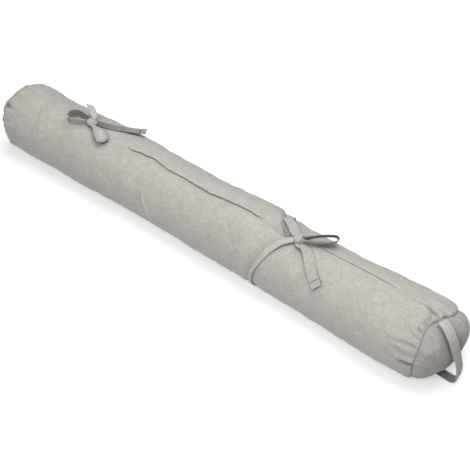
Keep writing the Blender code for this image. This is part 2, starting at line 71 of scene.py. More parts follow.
# Cloth
TIE_THICKNESS = 0.0012
STRAP_THICKNESS = 0.0016
TIE_WIDTH = 0.016
STRAP_WIDTH = 0.015
CLEAR = 0.0004
SEAM_DRAW = 0.0022
SEAM_REACH = 0.005
PUCKER_DEPTH = 0.0013
PUCKER_REACH = 0.016
LEFT_PUCKER_PHASE = 2.1
RIGHT_PUCKER_PHASE = 0.4
PANEL_PUCKER_DEPTH = 0.0006
PANEL_PUCKERS = 11
LAP_STEP = 0.0026
LAP_FADE = 0.070
GROOVE_DEPTH = 0.0022
GROOVE_MARGIN = 0.0036
GROOVE_SIDE = 0.009
GROOVE_LEAVES = 0.0035
LAID_CLEAR = 0.0009

# Where the girth is sampled under the tie, and how the panels' rings crowd towards their seam
FINE_FROM = 0.112
FINE_TO = 0.190
GIRTH_SAMPLES = 40
RISE_CROWDING = 1.5

Girth = namedtuple("Girth", "x fullness shift")
Edge = namedtuple("Edge", "x around step")
Skew = namedtuple("Skew", "degrees offset drawn")
Wave = namedtuple("Wave", "share count phases")
Fold = namedtuple("Fold", "x around heading length width height")
Laid = namedtuple("Laid", "x around lift width tilt")
Free = namedtuple("Free", "x y z side_x side_y side_z width crown")

# How full the filling leaves the roll, and how far it wanders to the back (+) or front (-)
GIRTHS = [
    Girth(-0.420, 1.018, 0.0000),
    Girth(-0.390, 1.011, -0.0004),
    Girth(-0.350, 0.993, -0.0016),
    Girth(-0.310, 0.996, -0.0003),
    Girth(-0.270, 0.999, -0.0001),
    Girth(-0.230, 1.016, 0.0006),
    Girth(-0.190, 1.012, 0.0018),
    Girth(-0.140, 0.996, 0.0029),
    Girth(-0.090, 0.974, 0.0030),
    Girth(-0.040, 0.970, 0.0026),
    Girth(0.010, 0.984, 0.0012),
    Girth(0.060, 1.007, 0.0016),
    Girth(0.100, 1.017, 0.0024),
    Girth(0.130, 1.010, 0.0005),
    Girth(0.150, 0.991, 0.0000),
    Girth(0.170, 0.976, -0.0002),
    Girth(0.195, 0.973, -0.0001),
    Girth(0.220, 0.976, -0.0002),
    Girth(0.250, 0.976, -0.0011),
    Girth(0.290, 0.994, -0.0027),
    Girth(0.330, 1.030, -0.0032),
    Girth(0.370, 1.043, -0.0034),
    Girth(0.400, 1.034, -0.0016),
    Girth(0.420, 1.016, -0.0001),
]

# The closure along the top: where its edge runs, and how far the lap stands up behind that edge
CLOSURE = [
    Edge(-0.420, -0.0030, 0.0000),
    Edge(-0.340, -0.0010, 0.0000),
    Edge(-0.192, 0.0030, 0.0000),
    Edge(-0.168, 0.0015, 0.0002),
    Edge(-0.156, 0.0070, 0.0014),
    Edge(-0.142, 0.0052, LAP_STEP),
    Edge(-0.106, 0.0005, LAP_STEP),
    Edge(-0.072, 0.0048, 0.0022),
    Edge(-0.025, 0.0040, LAP_STEP),
    Edge(0.014, 0.0062, LAP_STEP),
    Edge(0.065, 0.0032, 0.0024),
    Edge(0.117, 0.0040, 0.0022),
    Edge(0.151, 0.0024, 0.0008),
    Edge(0.180, 0.0000, 0.0000),
    Edge(0.208, -0.0060, 0.0000),
    Edge(0.290, -0.0100, 0.0000),
    Edge(0.347, -0.0050, 0.0000),
    Edge(0.395, -0.0010, 0.0000),
    Edge(0.420, 0.0055, 0.0000),
]

# An end seam isn't square to the roll: how far out each part of it is pulled, and how far it is drawn in.
# The right one's top is pulled out towards the back and its front shoulder sinks in.
RIGHT_SEAM_SKEW = [
    Skew(-180, 0.0000, 0.0000),
    Skew(-110, 0.0020, 0.0006),
    Skew(-70, 0.0065, 0.0016),
    Skew(-45, 0.0115, 0.0028),
    Skew(-25, 0.0150, 0.0022),
    Skew(-14, 0.0140, 0.0010),
    Skew(-7, 0.0108, 0.0002),
    Skew(-3, 0.0080, 0.0000),
    Skew(9, 0.0025, 0.0000),
    Skew(17, -0.0025, 0.0000),
    Skew(27, -0.0040, 0.0000),
    Skew(39, -0.0030, 0.0000),
    Skew(58, 0.0000, 0.0000),
    Skew(180, 0.0000, 0.0000),
]
LEFT_SEAM_SKEW = [
    Skew(-180, 0.0000, 0.0000),
    Skew(-60, -0.0010, 0.0000),
    Skew(0, -0.0010, 0.0000),
    Skew(22, 0.0008, 0.0000),
    Skew(38, 0.0034, 0.0000),
    Skew(50, 0.0034, 0.0000),
    Skew(62, 0.0012, 0.0000),
    Skew(76, -0.0032, 0.0000),
    Skew(92, -0.0040, 0.0000),
    Skew(112, -0.0026, 0.0000),
    Skew(145, 0.0000, 0.0000),
    Skew(180, 0.0000, 0.0000),
]

# The uneven puckers round an end seam
PUCKERS = [
    Wave(0.6, 9, 1),
    Wave(0.4, 14, 2),
]

# Soft folds (+) and hollows (-); the heading is degrees from the roll's length towards the front
FOLDS = [
    Fold(0.398, 0.090, 4, 0.046, 0.0125, -0.0026),
    Fold(0.392, 0.062, 8, 0.050, 0.0175, 0.0016),
    Fold(0.376, 0.034, 30, 0.060, 0.0200, -0.0012),
    Fold(0.400, -0.030, -12, 0.050, 0.0175, -0.0018),
    Fold(0.385, -0.075, 5, 0.060, 0.0187, -0.0018),
    Fold(-0.080, 0.086, 50, 0.050, 0.0137, 0.0012),
    Fold(-0.060, 0.060, 65, 0.070, 0.0200, -0.0010),
    Fold(0.052, 0.016, 62, 0.044, 0.0150, 0.0010),
    Fold(0.205, 0.032, 62, 0.080, 0.0250, -0.0016),
    Fold(0.118, 0.060, 60, 0.080, 0.0225, 0.0016),
    Fold(0.112, -0.070, -62, 0.080, 0.0225, 0.0014),
    Fold(0.168, -0.090, -70, 0.090, 0.0225, 0.0014),
    Fold(-0.290, 0.040, 58, 0.080, 0.0250, -0.0014),
    Fold(-0.404, 0.048, 10, 0.050, 0.0163, -0.0020),
    Fold(-0.400, 0.010, -8, 0.050, 0.0163, 0.0014),
    Fold(-0.398, -0.050, -6, 0.056, 0.0175, -0.0018),
    Fold(-0.180, -0.080, -30, 0.090, 0.0250, 0.0012),
    Fold(0.290, -0.080, 25, 0.090, 0.0250, -0.0012),
]

# The tie that goes round the roll, from the back of its knot, down, under and up the front.
# Where `lift` is 0 it lies in its groove, and above that it is stretched clear of the roll.
RIGHT_BAND = [
    Laid(0.1794, -0.0024, 0.0036, 0.0075, 0),
    Laid(0.1735, -0.0060, 0.0030, 0.0090, 0),
    Laid(0.1655, -0.0130, 0.0018, 0.0105, 0),
    Laid(0.1560, -0.0220, 0.0008, 0.0120, 0),
    Laid(0.1460, -0.0330, 0.0000, 0.0130, 0),
    Laid(0.1385, -0.0460, 0.0000, 0.0135, 0),
    Laid(0.1350, -0.0640, 0.0000, 0.0135, 0),
    Laid(0.1342, -0.1000, 0.0000, 0.0135, 0),
    Laid(0.1350, -0.1500, 0.0000, 0.0120, 0),
    Laid(0.1355, -0.1925, 0.0000, 0.0105, 0),
    Laid(0.1357, -0.2350, 0.0000, 0.0090, 0),
    Laid(0.1380, -0.2700, 0.0000, 0.0080, 0),
    Laid(0.1398, -0.2930, 0.0000, 0.0078, 0),
    Laid(0.1442, -0.3120, 0.0000, 0.0080, 0),
    Laid(0.1492, -0.3290, 0.0002, 0.0088, 4),
    Laid(0.1552, -0.3460, 0.0008, 0.0095, 8),
    Laid(0.1648, -0.3640, 0.0022, 0.0100, 10),
    Laid(0.1785, -0.3775, 0.0030, 0.0090, 6),
]

# The short tail of the right bow lies over the top of the band, towards the back
RIGHT_SHORT_TAIL = [
    Laid(0.1786, -0.0002, 0.0056, 0.0105, 0),
    Laid(0.1738, -0.0034, 0.0057, 0.0145, 3),
    Laid(0.1680, -0.0078, 0.0054, TIE_WIDTH, 4),
    Laid(0.1605, -0.0132, 0.0048, TIE_WIDTH, 3),
    Laid(0.1518, -0.0197, 0.0039, TIE_WIDTH, 1),
    Laid(0.1430, -0.0262, 0.0030, TIE_WIDTH, 0),
]

RIGHT_TAIL = [
    Laid(0.1900, 0.0106, 0.0024, 0.0090, 0),
    Laid(0.1980, 0.0100, 0.0026, 0.0120, -12),
    Laid(0.2110, 0.0160, 0.0014, 0.0155, -8),
    Laid(0.2260, 0.0320, 0.0006, TIE_WIDTH, -2),
    Laid(0.2400, 0.0450, 0.0008, TIE_WIDTH, 0),
    Laid(0.2500, 0.0515, 0.0020, TIE_WIDTH, 0),
]

RIGHT_LOOP = [
    Free(0.1936, 0.0015, 0.1190, 0.10, -0.20, 0.97, 0.0080, 0),
    Free(0.2010, 0.0072, 0.1220, 0.20, -0.30, 0.93, 0.0120, 0),
    Free(0.2112, 0.0154, 0.1243, 0.28, -0.38, 0.88, 0.0140, 0),
    Free(0.2220, 0.0242, 0.1243, 0.32, -0.42, 0.84, 0.0150, 0),
    Free(0.2308, 0.0302, 0.1230, 0.36, -0.44, 0.82, 0.0150, 0),
    Free(0.2350, 0.0286, 0.1208, 0.36, -0.44, 0.82, 0.0150, 0),
    Free(0.2328, 0.0220, 0.1193, 0.34, -0.42, 0.84, 0.0150, 0),
    Free(0.2234, 0.0128, 0.1183, 0.30, -0.34, 0.88, 0.0145, 0),
    Free(0.2130, 0.0052, 0.1183, 0.20, -0.26, 0.94, 0.0130, 0),
    Free(0.2028, -0.0002, 0.1183, 0.10, -0.18, 0.98, 0.0105, 0),
    Free(0.1938, -0.0040, 0.1175, 0.05, -0.10, 0.99, 0.0080, 0),
]

LEFT_LOOP = [
    Free(-0.2548, 0.0044, 0.1222, 0.00, 0.20, 0.98, 0.0080, 0),
    Free(-0.2640, 0.0046, 0.1222, -0.02, 0.12, 0.99, 0.0110, 0),
    Free(-0.2770, 0.0052, 0.1222, -0.06, 0.08, 0.99, 0.0125, 0),
    Free(-0.2875, 0.0020, 0.1222, -0.12, 0.04, 0.99, 0.0130, 0),
    Free(-0.2922, -0.0055, 0.1218, -0.14, -0.04, 0.99, 0.0130, 0),
    Free(-0.2892, -0.0132, 0.1214, -0.10, -0.12, 0.98, 0.0130, 0),
    Free(-0.2810, -0.0160, 0.1212, 0.00, -0.16, 0.98, 0.0126, 0),
    Free(-0.2710, -0.0122, 0.1212, 0.00, -0.14, 0.98, 0.0115, 0),
    Free(-0.2620, -0.0066, 0.1210, 0.00, -0.10, 0.99, 0.0100, 0),
    Free(-0.2548, -0.0018, 0.1207, 0.00, -0.10, 0.99, 0.0080, 0),
]

# The second loop has slumped forwards and opened out into a rounded lobe
LEFT_FOLDED_LOOP = [
    Free(-0.2425, -0.0045, 0.1235, 0.37, 0.93, 0.00, 0.0065, 0.0006),
    Free(-0.2335, -0.0078, 0.1252, 0.37, 0.93, 0.00, 0.0080, 0.0012),
    Free(-0.2235, -0.0116, 0.1272, 0.37, 0.93, 0.00, 0.0150, 0.0030),
    Free(-0.2125, -0.0160, 0.1274, 0.37, 0.93, 0.00, 0.0212, 0.0044),
    Free(-0.2030, -0.0197, 0.1247, 0.37, 0.93, 0.00, 0.0216, 0.0040),
    Free(-0.1990, -0.0212, 0.1203, 0.37, 0.93, 0.00, 0.0180, 0.0024),
    Free(-0.2028, -0.0196, 0.1177, 0.37, 0.93, 0.00, 0.0140, 0.0000),
    Free(-0.2140, -0.0152, 0.1173, 0.37, 0.93, 0.00, 0.0115, 0.0000),
    Free(-0.2290, -0.0090, 0.1178, 0.37, 0.93, 0.00, 0.0085, 0.0000),
    Free(-0.2420, -0.0040, 0.1190, 0.37, 0.93, 0.00, 0.0065, 0.0000),
]

LEFT_SHORT_TAIL = [
    Free(-0.2492, 0.0082, 0.1249, 0.90, 0.30, -0.25, 0.0080, 0),
    Free(-0.2535, 0.0122, 0.1285, 0.80, 0.45, -0.35, 0.0120, 0),
    Free(-0.2615, 0.0168, 0.1320, 0.60, 0.60, -0.50, 0.0145, 0),
    Free(-0.2712, 0.0216, 0.1340, 0.40, 0.65, -0.62, TIE_WIDTH, 0),
]

LEFT_LONG_TAIL = [
    Free(-0.2413, 0.0058, 0.1215, -0.30, 0.95, 0.00, 0.0080, 0.0010),
    Free(-0.2300, 0.0110, 0.1195, -0.38, 0.92, -0.06, 0.0125, 0.0012),
    Free(-0.2140, 0.0182, 0.1176, -0.42, 0.88, -0.20, 0.0150, 0.0010),
    Free(-0.1960, 0.0285, 0.1152, -0.43, 0.87, -0.24, TIE_WIDTH, 0.0006),
    Free(-0.1800, 0.0380, 0.1130, -0.43, 0.88, -0.20, TIE_WIDTH, 0.0003),
    Free(-0.1662, 0.0466, 0.1120, -0.43, 0.90, -0.12, TIE_WIDTH, 0.0000),
]

# The hanging loop's middle line, outside the right end panel: down its face, to the floor and back
HANGING_LOOP = [
    Free(0.4287, -0.0085, 0.1164, 0.47, 0.88, 0.10, STRAP_WIDTH, 0),
    Free(0.4395, -0.0130, 0.1135, 0.47, 0.88, 0.06, STRAP_WIDTH, 0),
    Free(0.4502, -0.0160, 0.1030, 0.46, 0.88, 0.00, STRAP_WIDTH, 0),
    Free(0.4576, -0.0155, 0.0870, 0.38, 0.92, 0.00, STRAP_WIDTH, 0),
    Free(0.4628, -0.0130, 0.0700, 0.28, 0.96, 0.00, STRAP_WIDTH, 0),
    Free(0.4668, -0.0095, 0.0540, 0.18, 0.98, 0.00, STRAP_WIDTH, 0),
    Free(0.4696, -0.0060, 0.0370, 0.08, 1.00, 0.00, STRAP_WIDTH, 0),
    Free(0.4710, -0.0035, 0.0210, 0.02, 1.00, 0.00, STRAP_WIDTH, 0),
    Free(0.4698, -0.0028, 0.0078, 0.00, 1.00, 0.00, STRAP_WIDTH, 0),
    Free(0.4650, -0.0030, 0.0024, 0.00, 1.00, 0.00, STRAP_WIDTH, 0),
    Free(0.4570, -0.0026, 0.0012, 0.00, 1.00, 0.00, STRAP_WIDTH, 0),
    Free(0.4460, -0.0020, 0.0012, 0.00, 1.00, 0.00, STRAP_WIDTH, 0),
    Free(0.4336, -0.0020, 0.0012, 0.00, 1.00, 0.00, STRAP_WIDTH, 0),
]

LEFT_KNOT = (-0.248, 0.002, 0.1212)
RIGHT_KNOT = (0.186, -0.0015, 0.1163)
KNOT_HALF_SIZE = (0.0076, 0.0070, 0.0052)
KNOT_LUMPS = 0.09
KNOT_LOBES = 3
KNOT_TWIST = 2.5

# Mesh steps of the dressed cloth
BODY_STEP = 0.0022
COLUMN_STEP = 0.0019
END_STATIONS = (0.0, 0.0006, 0.0014, 0.0024, 0.0036, 0.0050, 0.0066, 0.0084, 0.0104, 0.0126, 0.0150)
PANEL_RINGS = 44
RIBBON_STEP = 0.0010
RIBBON_PARTS = 34

# The closure where its lap is open, from inside the slot, over the lip and back over the lap, then
# the cloth in front that runs in under it. Where the closure is sewn shut, each point lies at `flat`.
Profile = namedtuple("Profile", "flat open height")
LIP_PROFILE = [
    Profile(0.00010, -0.0026, -0.00010),
    Profile(-0.00010, -0.0018, 0.00050),
    Profile(-0.00030, -0.0004, 0.00075),
    Profile(-0.00055, 0.0005, 0.00095),
    Profile(-0.00085, 0.0009, 0.00145),
    Profile(-0.00120, 0.0007, 0.00210),
    Profile(-0.00165, 0.0001, 0.00250),
    Profile(-0.00230, -0.0010, 0.00268),
    Profile(-0.00340, -0.0026, 0.00264),
]
UNDER_PROFILE = [
    Profile(0.00340, 0.0034, 0.00000),
    Profile(0.00230, 0.0022, -0.00005),
    Profile(0.00150, 0.0008, -0.00025),
    Profile(0.00080, -0.0008, -0.00045),
    Profile(0.00030, -0.0022, -0.00050),
]
LIP_WANDER = 0.0011
LIP_WANDER_SIZE = 0.009
LIP_WANDER_SEED = (0.3, 0.7)
LIP_OCTAVES = 3

# Where the lap stands open, from 0 (sewn down, its edge a soft step) to 1
Slot = namedtuple("Slot", "x open")
SLOT = [
    Slot(-0.166, 0.0),
    Slot(-0.157, 1.0),
    Slot(0.112, 1.0),
    Slot(0.121, 0.0),
]
SOFT_STEP = 0.0068

# How deep the closure's seam line is drawn in where it is sewn
Seam = namedtuple("Seam", "x depth")
SEAM_LINE = [
    Seam(-0.420, 0.0004),
    Seam(-0.190, 0.0004),
    Seam(-0.160, 0.0002),
    Seam(-0.140, 0.0000),
    Seam(0.119, 0.0000),
    Seam(0.150, 0.0003),
    Seam(0.200, 0.0010),
    Seam(0.212, 0.0020),
    Seam(0.338, 0.0020),
    Seam(0.350, 0.0004),
    Seam(0.420, 0.0005),
]
SEAM_WIDTH = 0.0014

# Small gathers beside the end seams
GATHERS = [
    Wave(0.42, 23, 1.0),
    Wave(0.34, 31, 2.3),
    Wave(0.24, 47, 3.1),
]
GATHER_DEPTH = 0.0017
GATHER_REACH = 0.0048
PANEL_GATHER_DEPTH = 0.0012
GATHER_EVEN = 0.65
GATHER_LOBES = 3
RIGHT_GATHER_PHASE = 1.0
LEFT_GATHER_PHASE = 4.0
SEAM_BITE = 0.0026
SEAM_BITE_REACH = 0.0013

# How much of the bite each part of an end seam has
Bite = namedtuple("Bite", "degrees share")
RIGHT_BITES = [
    Bite(-180, 0.8),
    Bite(-60, 0.8),
    Bite(-20, 1.0),
    Bite(12, 1.0),
    Bite(22, 0.35),
    Bite(72, 0.30),
    Bite(86, 0.90),
    Bite(112, 0.90),
    Bite(180, 0.80),
]
LEFT_BITES = [
    Bite(-180, 0.6),
    Bite(180, 0.6),
]

# Crisp creases and dents: those that the photo shows, and a few like them on the hidden back
CREASES = [
    Fold(0.4120, 0.0905, -12, 0.022, 0.0058, -0.0090),
    Fold(0.404, 0.084, -6, 0.034, 0.0070, 0.0018),
    Fold(0.404, 0.076, 10, 0.034, 0.0080, -0.0014),
    Fold(0.404, 0.068, 0, 0.044, 0.0080, 0.0012),
    Fold(0.405, 0.0605, -5, 0.036, 0.0060, -0.0030),
    Fold(0.410, 0.053, 14, 0.026, 0.0060, 0.0012),
    Fold(0.414, 0.046, 10, 0.016, 0.0042, -0.0028),
    Fold(0.406, 0.041, 24, 0.034, 0.0060, 0.0012),
    Fold(0.4130, 0.0355, 20, 0.016, 0.0042, -0.0038),
    Fold(0.410, 0.028, 32, 0.022, 0.0045, 0.0013),
    Fold(0.414, 0.0225, 40, 0.014, 0.0040, -0.0030),
    Fold(0.412, 0.016, 50, 0.020, 0.0042, 0.0012),
    Fold(0.4115, 0.0110, 48, 0.018, 0.0042, -0.0046),
    Fold(0.405, 0.007, 26, 0.034, 0.0050, 0.0013),
    Fold(0.4065, 0.0015, 21, 0.034, 0.0044, -0.0044),
    Fold(0.396, -0.005, 18, 0.046, 0.0060, 0.0008),
    Fold(0.372, -0.006, 18, 0.050, 0.0060, -0.0008),
    Fold(-0.087, 0.075, 62, 0.034, 0.0044, 0.0026),
    Fold(-0.091, 0.077, 62, 0.034, 0.0044, -0.0018),
    Fold(-0.074, 0.097, 64, 0.030, 0.0044, 0.0024),
    Fold(-0.077, 0.101, 66, 0.030, 0.0050, -0.0011),
    Fold(-0.060, 0.066, 84, 0.040, 0.0070, -0.0008),
    Fold(0.012, 0.068, 88, 0.060, 0.0050, 0.0007),
    Fold(0.051, 0.050, 79, 0.050, 0.0046, 0.0013),
    Fold(0.064, 0.058, 82, 0.034, 0.0050, 0.0008),
    Fold(0.057, 0.011, -45, 0.020, 0.0050, -0.0014),
    Fold(0.083, 0.032, -51, 0.040, 0.0050, 0.0014),
    Fold(0.048, 0.022, 66, 0.050, 0.0060, 0.0009),
    Fold(-0.010, 0.020, 64, 0.044, 0.0070, 0.0007),
    Fold(0.084, 0.050, 50, 0.044, 0.0070, -0.0008),
    Fold(0.128, 0.028, 30, 0.040, 0.0080, 0.0009),
    Fold(0.146, 0.0050, 2, 0.030, 0.0056, -0.0020),
    Fold(0.149, -0.0015, 8, 0.024, 0.0046, -0.0016),
    Fold(0.156, -0.0045, 38, 0.034, 0.0075, -0.0070),
    Fold(0.151, 0.0020, 34, 0.022, 0.0034, -0.0026),
    Fold(0.148, 0.0065, 30, 0.018, 0.0030, -0.0018),
    Fold(0.163, 0.0030, -20, 0.012, 0.0070, -0.0030),
    Fold(0.172, 0.050, 62, 0.060, 0.0100, -0.0010),
    Fold(0.196, 0.040, 70, 0.060, 0.0120, 0.0010),
    Fold(-0.330, 0.050, 74, 0.060, 0.0140, 0.0009),
    Fold(-0.372, 0.030, 24, 0.044, 0.0080, -0.0009),
    Fold(-0.381, -0.024, 30, 0.060, 0.0080, 0.0009),
    Fold(-0.300, 0.012, 12, 0.050, 0.0080, 0.0007),
    Fold(-0.216, 0.024, 38, 0.050, 0.0100, -0.0009),
    Fold(-0.150, 0.040, 70, 0.060, 0.0120, 0.0008),
    Fold(0.300, 0.070, 86, 0.050, 0.0070, 0.0006),
    Fold(0.240, 0.084, 80, 0.050, 0.0080, 0.0006),
    Fold(-0.4170, 0.0436, 6, 0.014, 0.0070, -0.0060),
    Fold(-0.404, 0.036, 10, 0.034, 0.0070, 0.0011),
    Fold(-0.404, 0.053, 4, 0.034, 0.0080, 0.0011),
    Fold(-0.408, 0.070, -10, 0.028, 0.0060, -0.0014),
    Fold(-0.410, 0.020, 14, 0.024, 0.0060, -0.0012),
    Fold(-0.250, -0.060, 66, 0.070, 0.0110, 0.0009),
    Fold(-0.120, -0.070, 76, 0.070, 0.0100, -0.0010),
    Fold(0.030, -0.076, 70, 0.080, 0.0110, 0.0010),
    Fold(0.100, -0.060, 48, 0.060, 0.0090, -0.0011),
    Fold(0.200, -0.070, -52, 0.060, 0.0090, 0.0011),
    Fold(0.270, -0.060, 70, 0.080, 0.0110, -0.0010),
    Fold(0.396, -0.044, -14, 0.050, 0.0090, 0.0013),
    Fold(0.400, -0.066, -8, 0.044, 0.0080, -0.0015),
    Fold(-0.398, -0.030, 12, 0.050, 0.0090, -0.0014),
    Fold(-0.400, -0.060, -8, 0.040, 0.0080, 0.0013),
]

# Random unevenness of the cloth: bumps, then a sparse net of creases
Unevenness = namedtuple("Unevenness", "size height octaves seed")
BUMPS = [
    Unevenness(0.060, 0.0010, 2, 1),
    Unevenness(0.017, 0.00062, 2, 2),
]
CREASE_NET = Unevenness(0.040, 0.00095, 1, 5)
CREASE_NET_WIDTH = 0.11
CREASE_PATCH = Unevenness(0.090, 1.0, 1, 9)
CREASE_CONTRAST = 2.5
CREASE_STRETCH = (1.0, 0.55, 0.55)
SEED_STEP = (3.7, 1.9, 5.3)
OCTAVE_FALL = 1.0
OCTAVE_RATIO = 2.0
FINE_FADE = 0.010
PANEL_FADE = 0.012
PANEL_TOP = math.radians(88)
PANEL_HEART = 0.01

CAMERA_AT = (0.63815, -0.74294, 1.04056)
CAMERA_RIGHT = (0.7902, 0.6129, 0.0)
CAMERA_BACK = (0.42030, -0.54190, 0.72787)
CAMERA_LENS_MM = 64.8
SENSOR_MM = 36.0

# Folds on the end panels: how far round, how far in from the seam, its size and its lean
PanelFold = namedtuple("PanelFold", "degrees inside length width height lean")
PANEL_FOLDS = {
    1: [
        PanelFold(-22, 0.014, 0.026, 0.0070, -0.0016, 0.5),
        PanelFold(-14, 0.012, 0.020, 0.0060, 0.0014, 0.3),
        PanelFold(-34, 0.018, 0.030, 0.0080, 0.0012, 0.4),
        PanelFold(30, 0.010, 0.020, 0.0070, -0.0010, -0.3),
        PanelFold(58, 0.012, 0.024, 0.0080, 0.0008, -0.2),
        PanelFold(110, 0.012, 0.024, 0.0080, -0.0009, 0.2),
        PanelFold(-90, 0.014, 0.026, 0.0080, -0.0010, 0.2),
    ],
    -1: [
        PanelFold(20, 0.008, 0.020, 0.0070, -0.0014, 0.4),
        PanelFold(48, 0.010, 0.022, 0.0080, 0.0011, 0.3),
        PanelFold(84, 0.010, 0.022, 0.0070, -0.0014, 0.2),
        PanelFold(-40, 0.010, 0.022, 0.0080, -0.0010, 0.2),
    ],
}

# Ribbons: their rounded section, hemmed edges, folded ends and ripples
SHEET_SQUARENESS = 14
SHEET_EDGE = 0.25
HEM_RIDGE = 0.00014
HEM_PLACE = 0.80
HEM_WIDTH = 0.30
STITCH_PLACE = 0.62
STITCH_WIDTH = 0.10
STITCH_SHARE = 0.5
END_HEM_LENGTH = 0.0105
END_HEM_STEP = 0.0008
END_HEM_THICKNESS = 0.0009
END_HEM_GROOVE = 0.0011
RIPPLE = 0.0009
RIPPLE_SIZE = 0.017
RIPPLE_BY_WIDTH = 90
RIPPLE_BY_PLACE = 50

# Lengthwise pleats that fade away from the knot, as shares of the tie's width
PLEAT_PLACES = (-0.30, -0.04, 0.24)
PLEAT_WIDTH = 0.23
PLEAT_DEPTH = 0.0026
PLEATED_SHARE = 2.2

# How much painted shade darkens a pleat, a pleated stretch, an end hem's line and the inside of a loop
FOLD_SHADE = 0.55
PLEATED_SHADE = 0.16
HEM_SHADE = 0.34
INNER_SHADE = 0.38

# Each tie from its knot: `pleats` is its share of the pleats' depth
Tie = namedtuple("Tie", "node rows knot both_ends held end_hem pleats")
FREE_TIES = [
    Tie("left_bow_loop", LEFT_LOOP, LEFT_KNOT, True, "folded", False, 0.15),
    Tie("left_bow_folded_loop", LEFT_FOLDED_LOOP, LEFT_KNOT, True, "folded", False, 0.0),
    Tie("left_bow_short_tail", LEFT_SHORT_TAIL, LEFT_KNOT, False, "laid", False, 0.0),
    Tie("left_bow_long_tail", LEFT_LONG_TAIL, LEFT_KNOT, False, "laid", True, 1.0),
    Tie("right_bow_loop", RIGHT_LOOP, RIGHT_KNOT, True, "folded", False, 0.0),
]
LAID_TIES = [
    Tie("right_bow_band", RIGHT_BAND, RIGHT_KNOT, True, "stretched", False, 0.0),
    Tie("right_bow_short_tail", RIGHT_SHORT_TAIL, RIGHT_KNOT, False, "laid", False, 0.12),
    Tie("right_bow_tail", RIGHT_TAIL, RIGHT_KNOT, False, "laid", True, 0.22),
]
STRAP = Tie("hanging_loop", HANGING_LOOP, None, True, "hung", False, 0.0)
LOOPED = ("folded", "hung")
TUCK = 0.7
TUCKED_WIDTH = 0.85

# The band, seen narrower and to one side of its groove where it climbs the front
BAND_LOW_FROM = -0.24
BAND_FRONT_TOP = -0.345
BAND_LOW_WIDTH = 0.84
BAND_LOW_SHIFT = 0.0012

# The dressed knot: a winding stands up across the pull, with pleats at both sides of it
LEFT_PULL = (1.0, 0.25, 0.0)
RIGHT_PULL = (1.0, 0.35, 0.0)
KNOT_COLUMNS = 64
KNOT_ROWS = 40
KNOT_GROWTH = (1.42, 1.30, 1.15)
WINDING_LEAN = 0.25
WINDING_HALF = 0.46
WINDING_EDGE = 0.10
WINDING_SWELL = 0.12
BESIDE_SWELL = -0.07
KNOT_PLEAT = 0.08
KNOT_PLEATS_ACROSS = 13.6
KNOT_PLEATS_UP = 11.9
KNOT_CREASE = 0.06
KNOT_CREASES = 26

# Linen: threads and slubs in radians or cycles a metre, and how much each darkens or raises it
COVER_COLOUR = (0.50, 0.47, 0.435, 1.0)
# The end panels' colour is the cover's made darker: painted shade for panels that face away from the light
SHADED_PANEL_COLOUR = (0.415, 0.390, 0.361, 1.0)
TIE_COLOUR = (0.53, 0.50, 0.464, 1.0)
COVER_CONTRAST = 0.48
TIE_CONTRAST = 0.40
THREADS = 2 * math.pi / 0.0016
SLUB_ALONG = 85
SLUB_ACROSS = 430
SLUB_LAYERS = 40
MOTTLE = 420
MOTTLE_SHARE = 1.3
PATCH = 45
PATCH_SHARE = 0.5
GRAIN = 0.6
ROUGHNESS = 0.9
SPECULAR = 0.25
SHEEN = 0.25
SHEEN_ROUGHNESS = 0.5
THREAD_RELIEF = 2.2
WEAVE_RELIEF = 0.35
RELIEF_STRENGTH = 0.55
RELIEF_HEIGHT = 0.00035

# Soft shade painted into the cloth's colour where cloth meets cloth or the floor: how far it reaches and how
# dark it gets
Shade = namedtuple("Shade", "reach strength")
SHADES = [
    Shade(0.007, 0.50),
    Shade(0.030, 0.36),
]
SHADE_SAMPLES = 6

# Soft lamps, and a floor that the camera sees brighter than it lights
Lamp = namedtuple("Lamp", "name place size power")
LAMPS = [
    Lamp("top", (0.22, 0.0, 1.7), 1.05, 14.2),
    Lamp("back", (-0.3, 1.3, 2.2), 1.6, 12.5),
    Lamp("back_right", (0.4, 1.5, 2.2), 1.6, 8),
    Lamp("front_left", (-0.9, -1.4, 2.2), 1.6, 2),
    Lamp("front_right", (0.38, -1.2, 1.5), 1.05, 18.6),
]
LAMP_AIM = (0.0, 0.0, 0.05)
WORLD_STRENGTH = 0.02
FLOOR_COLOUR = 0.80
FLOOR_SIZE = 12
FLOOR_GLOW = 0.42
FLOOR_BOUNCE = 0.74


def smooth_step(value):
    value = min(max(value, 0.0), 1.0)
    return value * value * (3 - 2 * value)


def slopes_of(places, values):
    """The slope at each row of a smooth curve through all the rows."""
    inner = (values[2:] - values[:-2]) / (places[2:] - places[:-2])[:, None]
    first = (values[1] - values[0]) / (places[1] - places[0])
    last = (values[-1] - values[-2]) / (places[-1] - places[-2])
    return np.vstack([first, inner, last])


def curve_through(places, values, place):
    """A smooth curve through the rows, read at one place."""
    index = int(np.clip(np.searchsorted(places, place) - 1, 0, len(places) - 2))
    span = places[index + 1] - places[index]
    u = min(max((place - places[index]) / span, 0.0), 1.0)
    slopes = slopes_of(places, values)
    return (
        (2 * u**3 - 3 * u**2 + 1) * values[index]
        + (u**3 - 2 * u**2 + u) * span * slopes[index]
        + (3 * u**2 - 2 * u**3) * values[index + 1]
        + (u**3 - u**2) * span * slopes[index + 1]
    )


def girth_at(x):
    rows = np.array(GIRTHS)
    return curve_through(rows[:, 0], rows[:, 1:], x)


def centre_height(fullness):
    return HALF_HEIGHT * fullness - FOOT_SINK


def directions(points):
    ahead = np.gradient(points, axis=0)
    return ahead / np.linalg.norm(ahead, axis=1)[:, None]


def turned(vector, axis, degrees):
    angle = math.radians(degrees)
    return vector * math.cos(angle) + np.cross(axis, vector) * math.sin(angle)


def smooth_steps(values):
    values = np.clip(values, 0.0, 1.0)
    return values * values * (3 - 2 * values)


def wrapped(turns):
    return (turns + math.pi) % (2 * math.pi) - math.pi


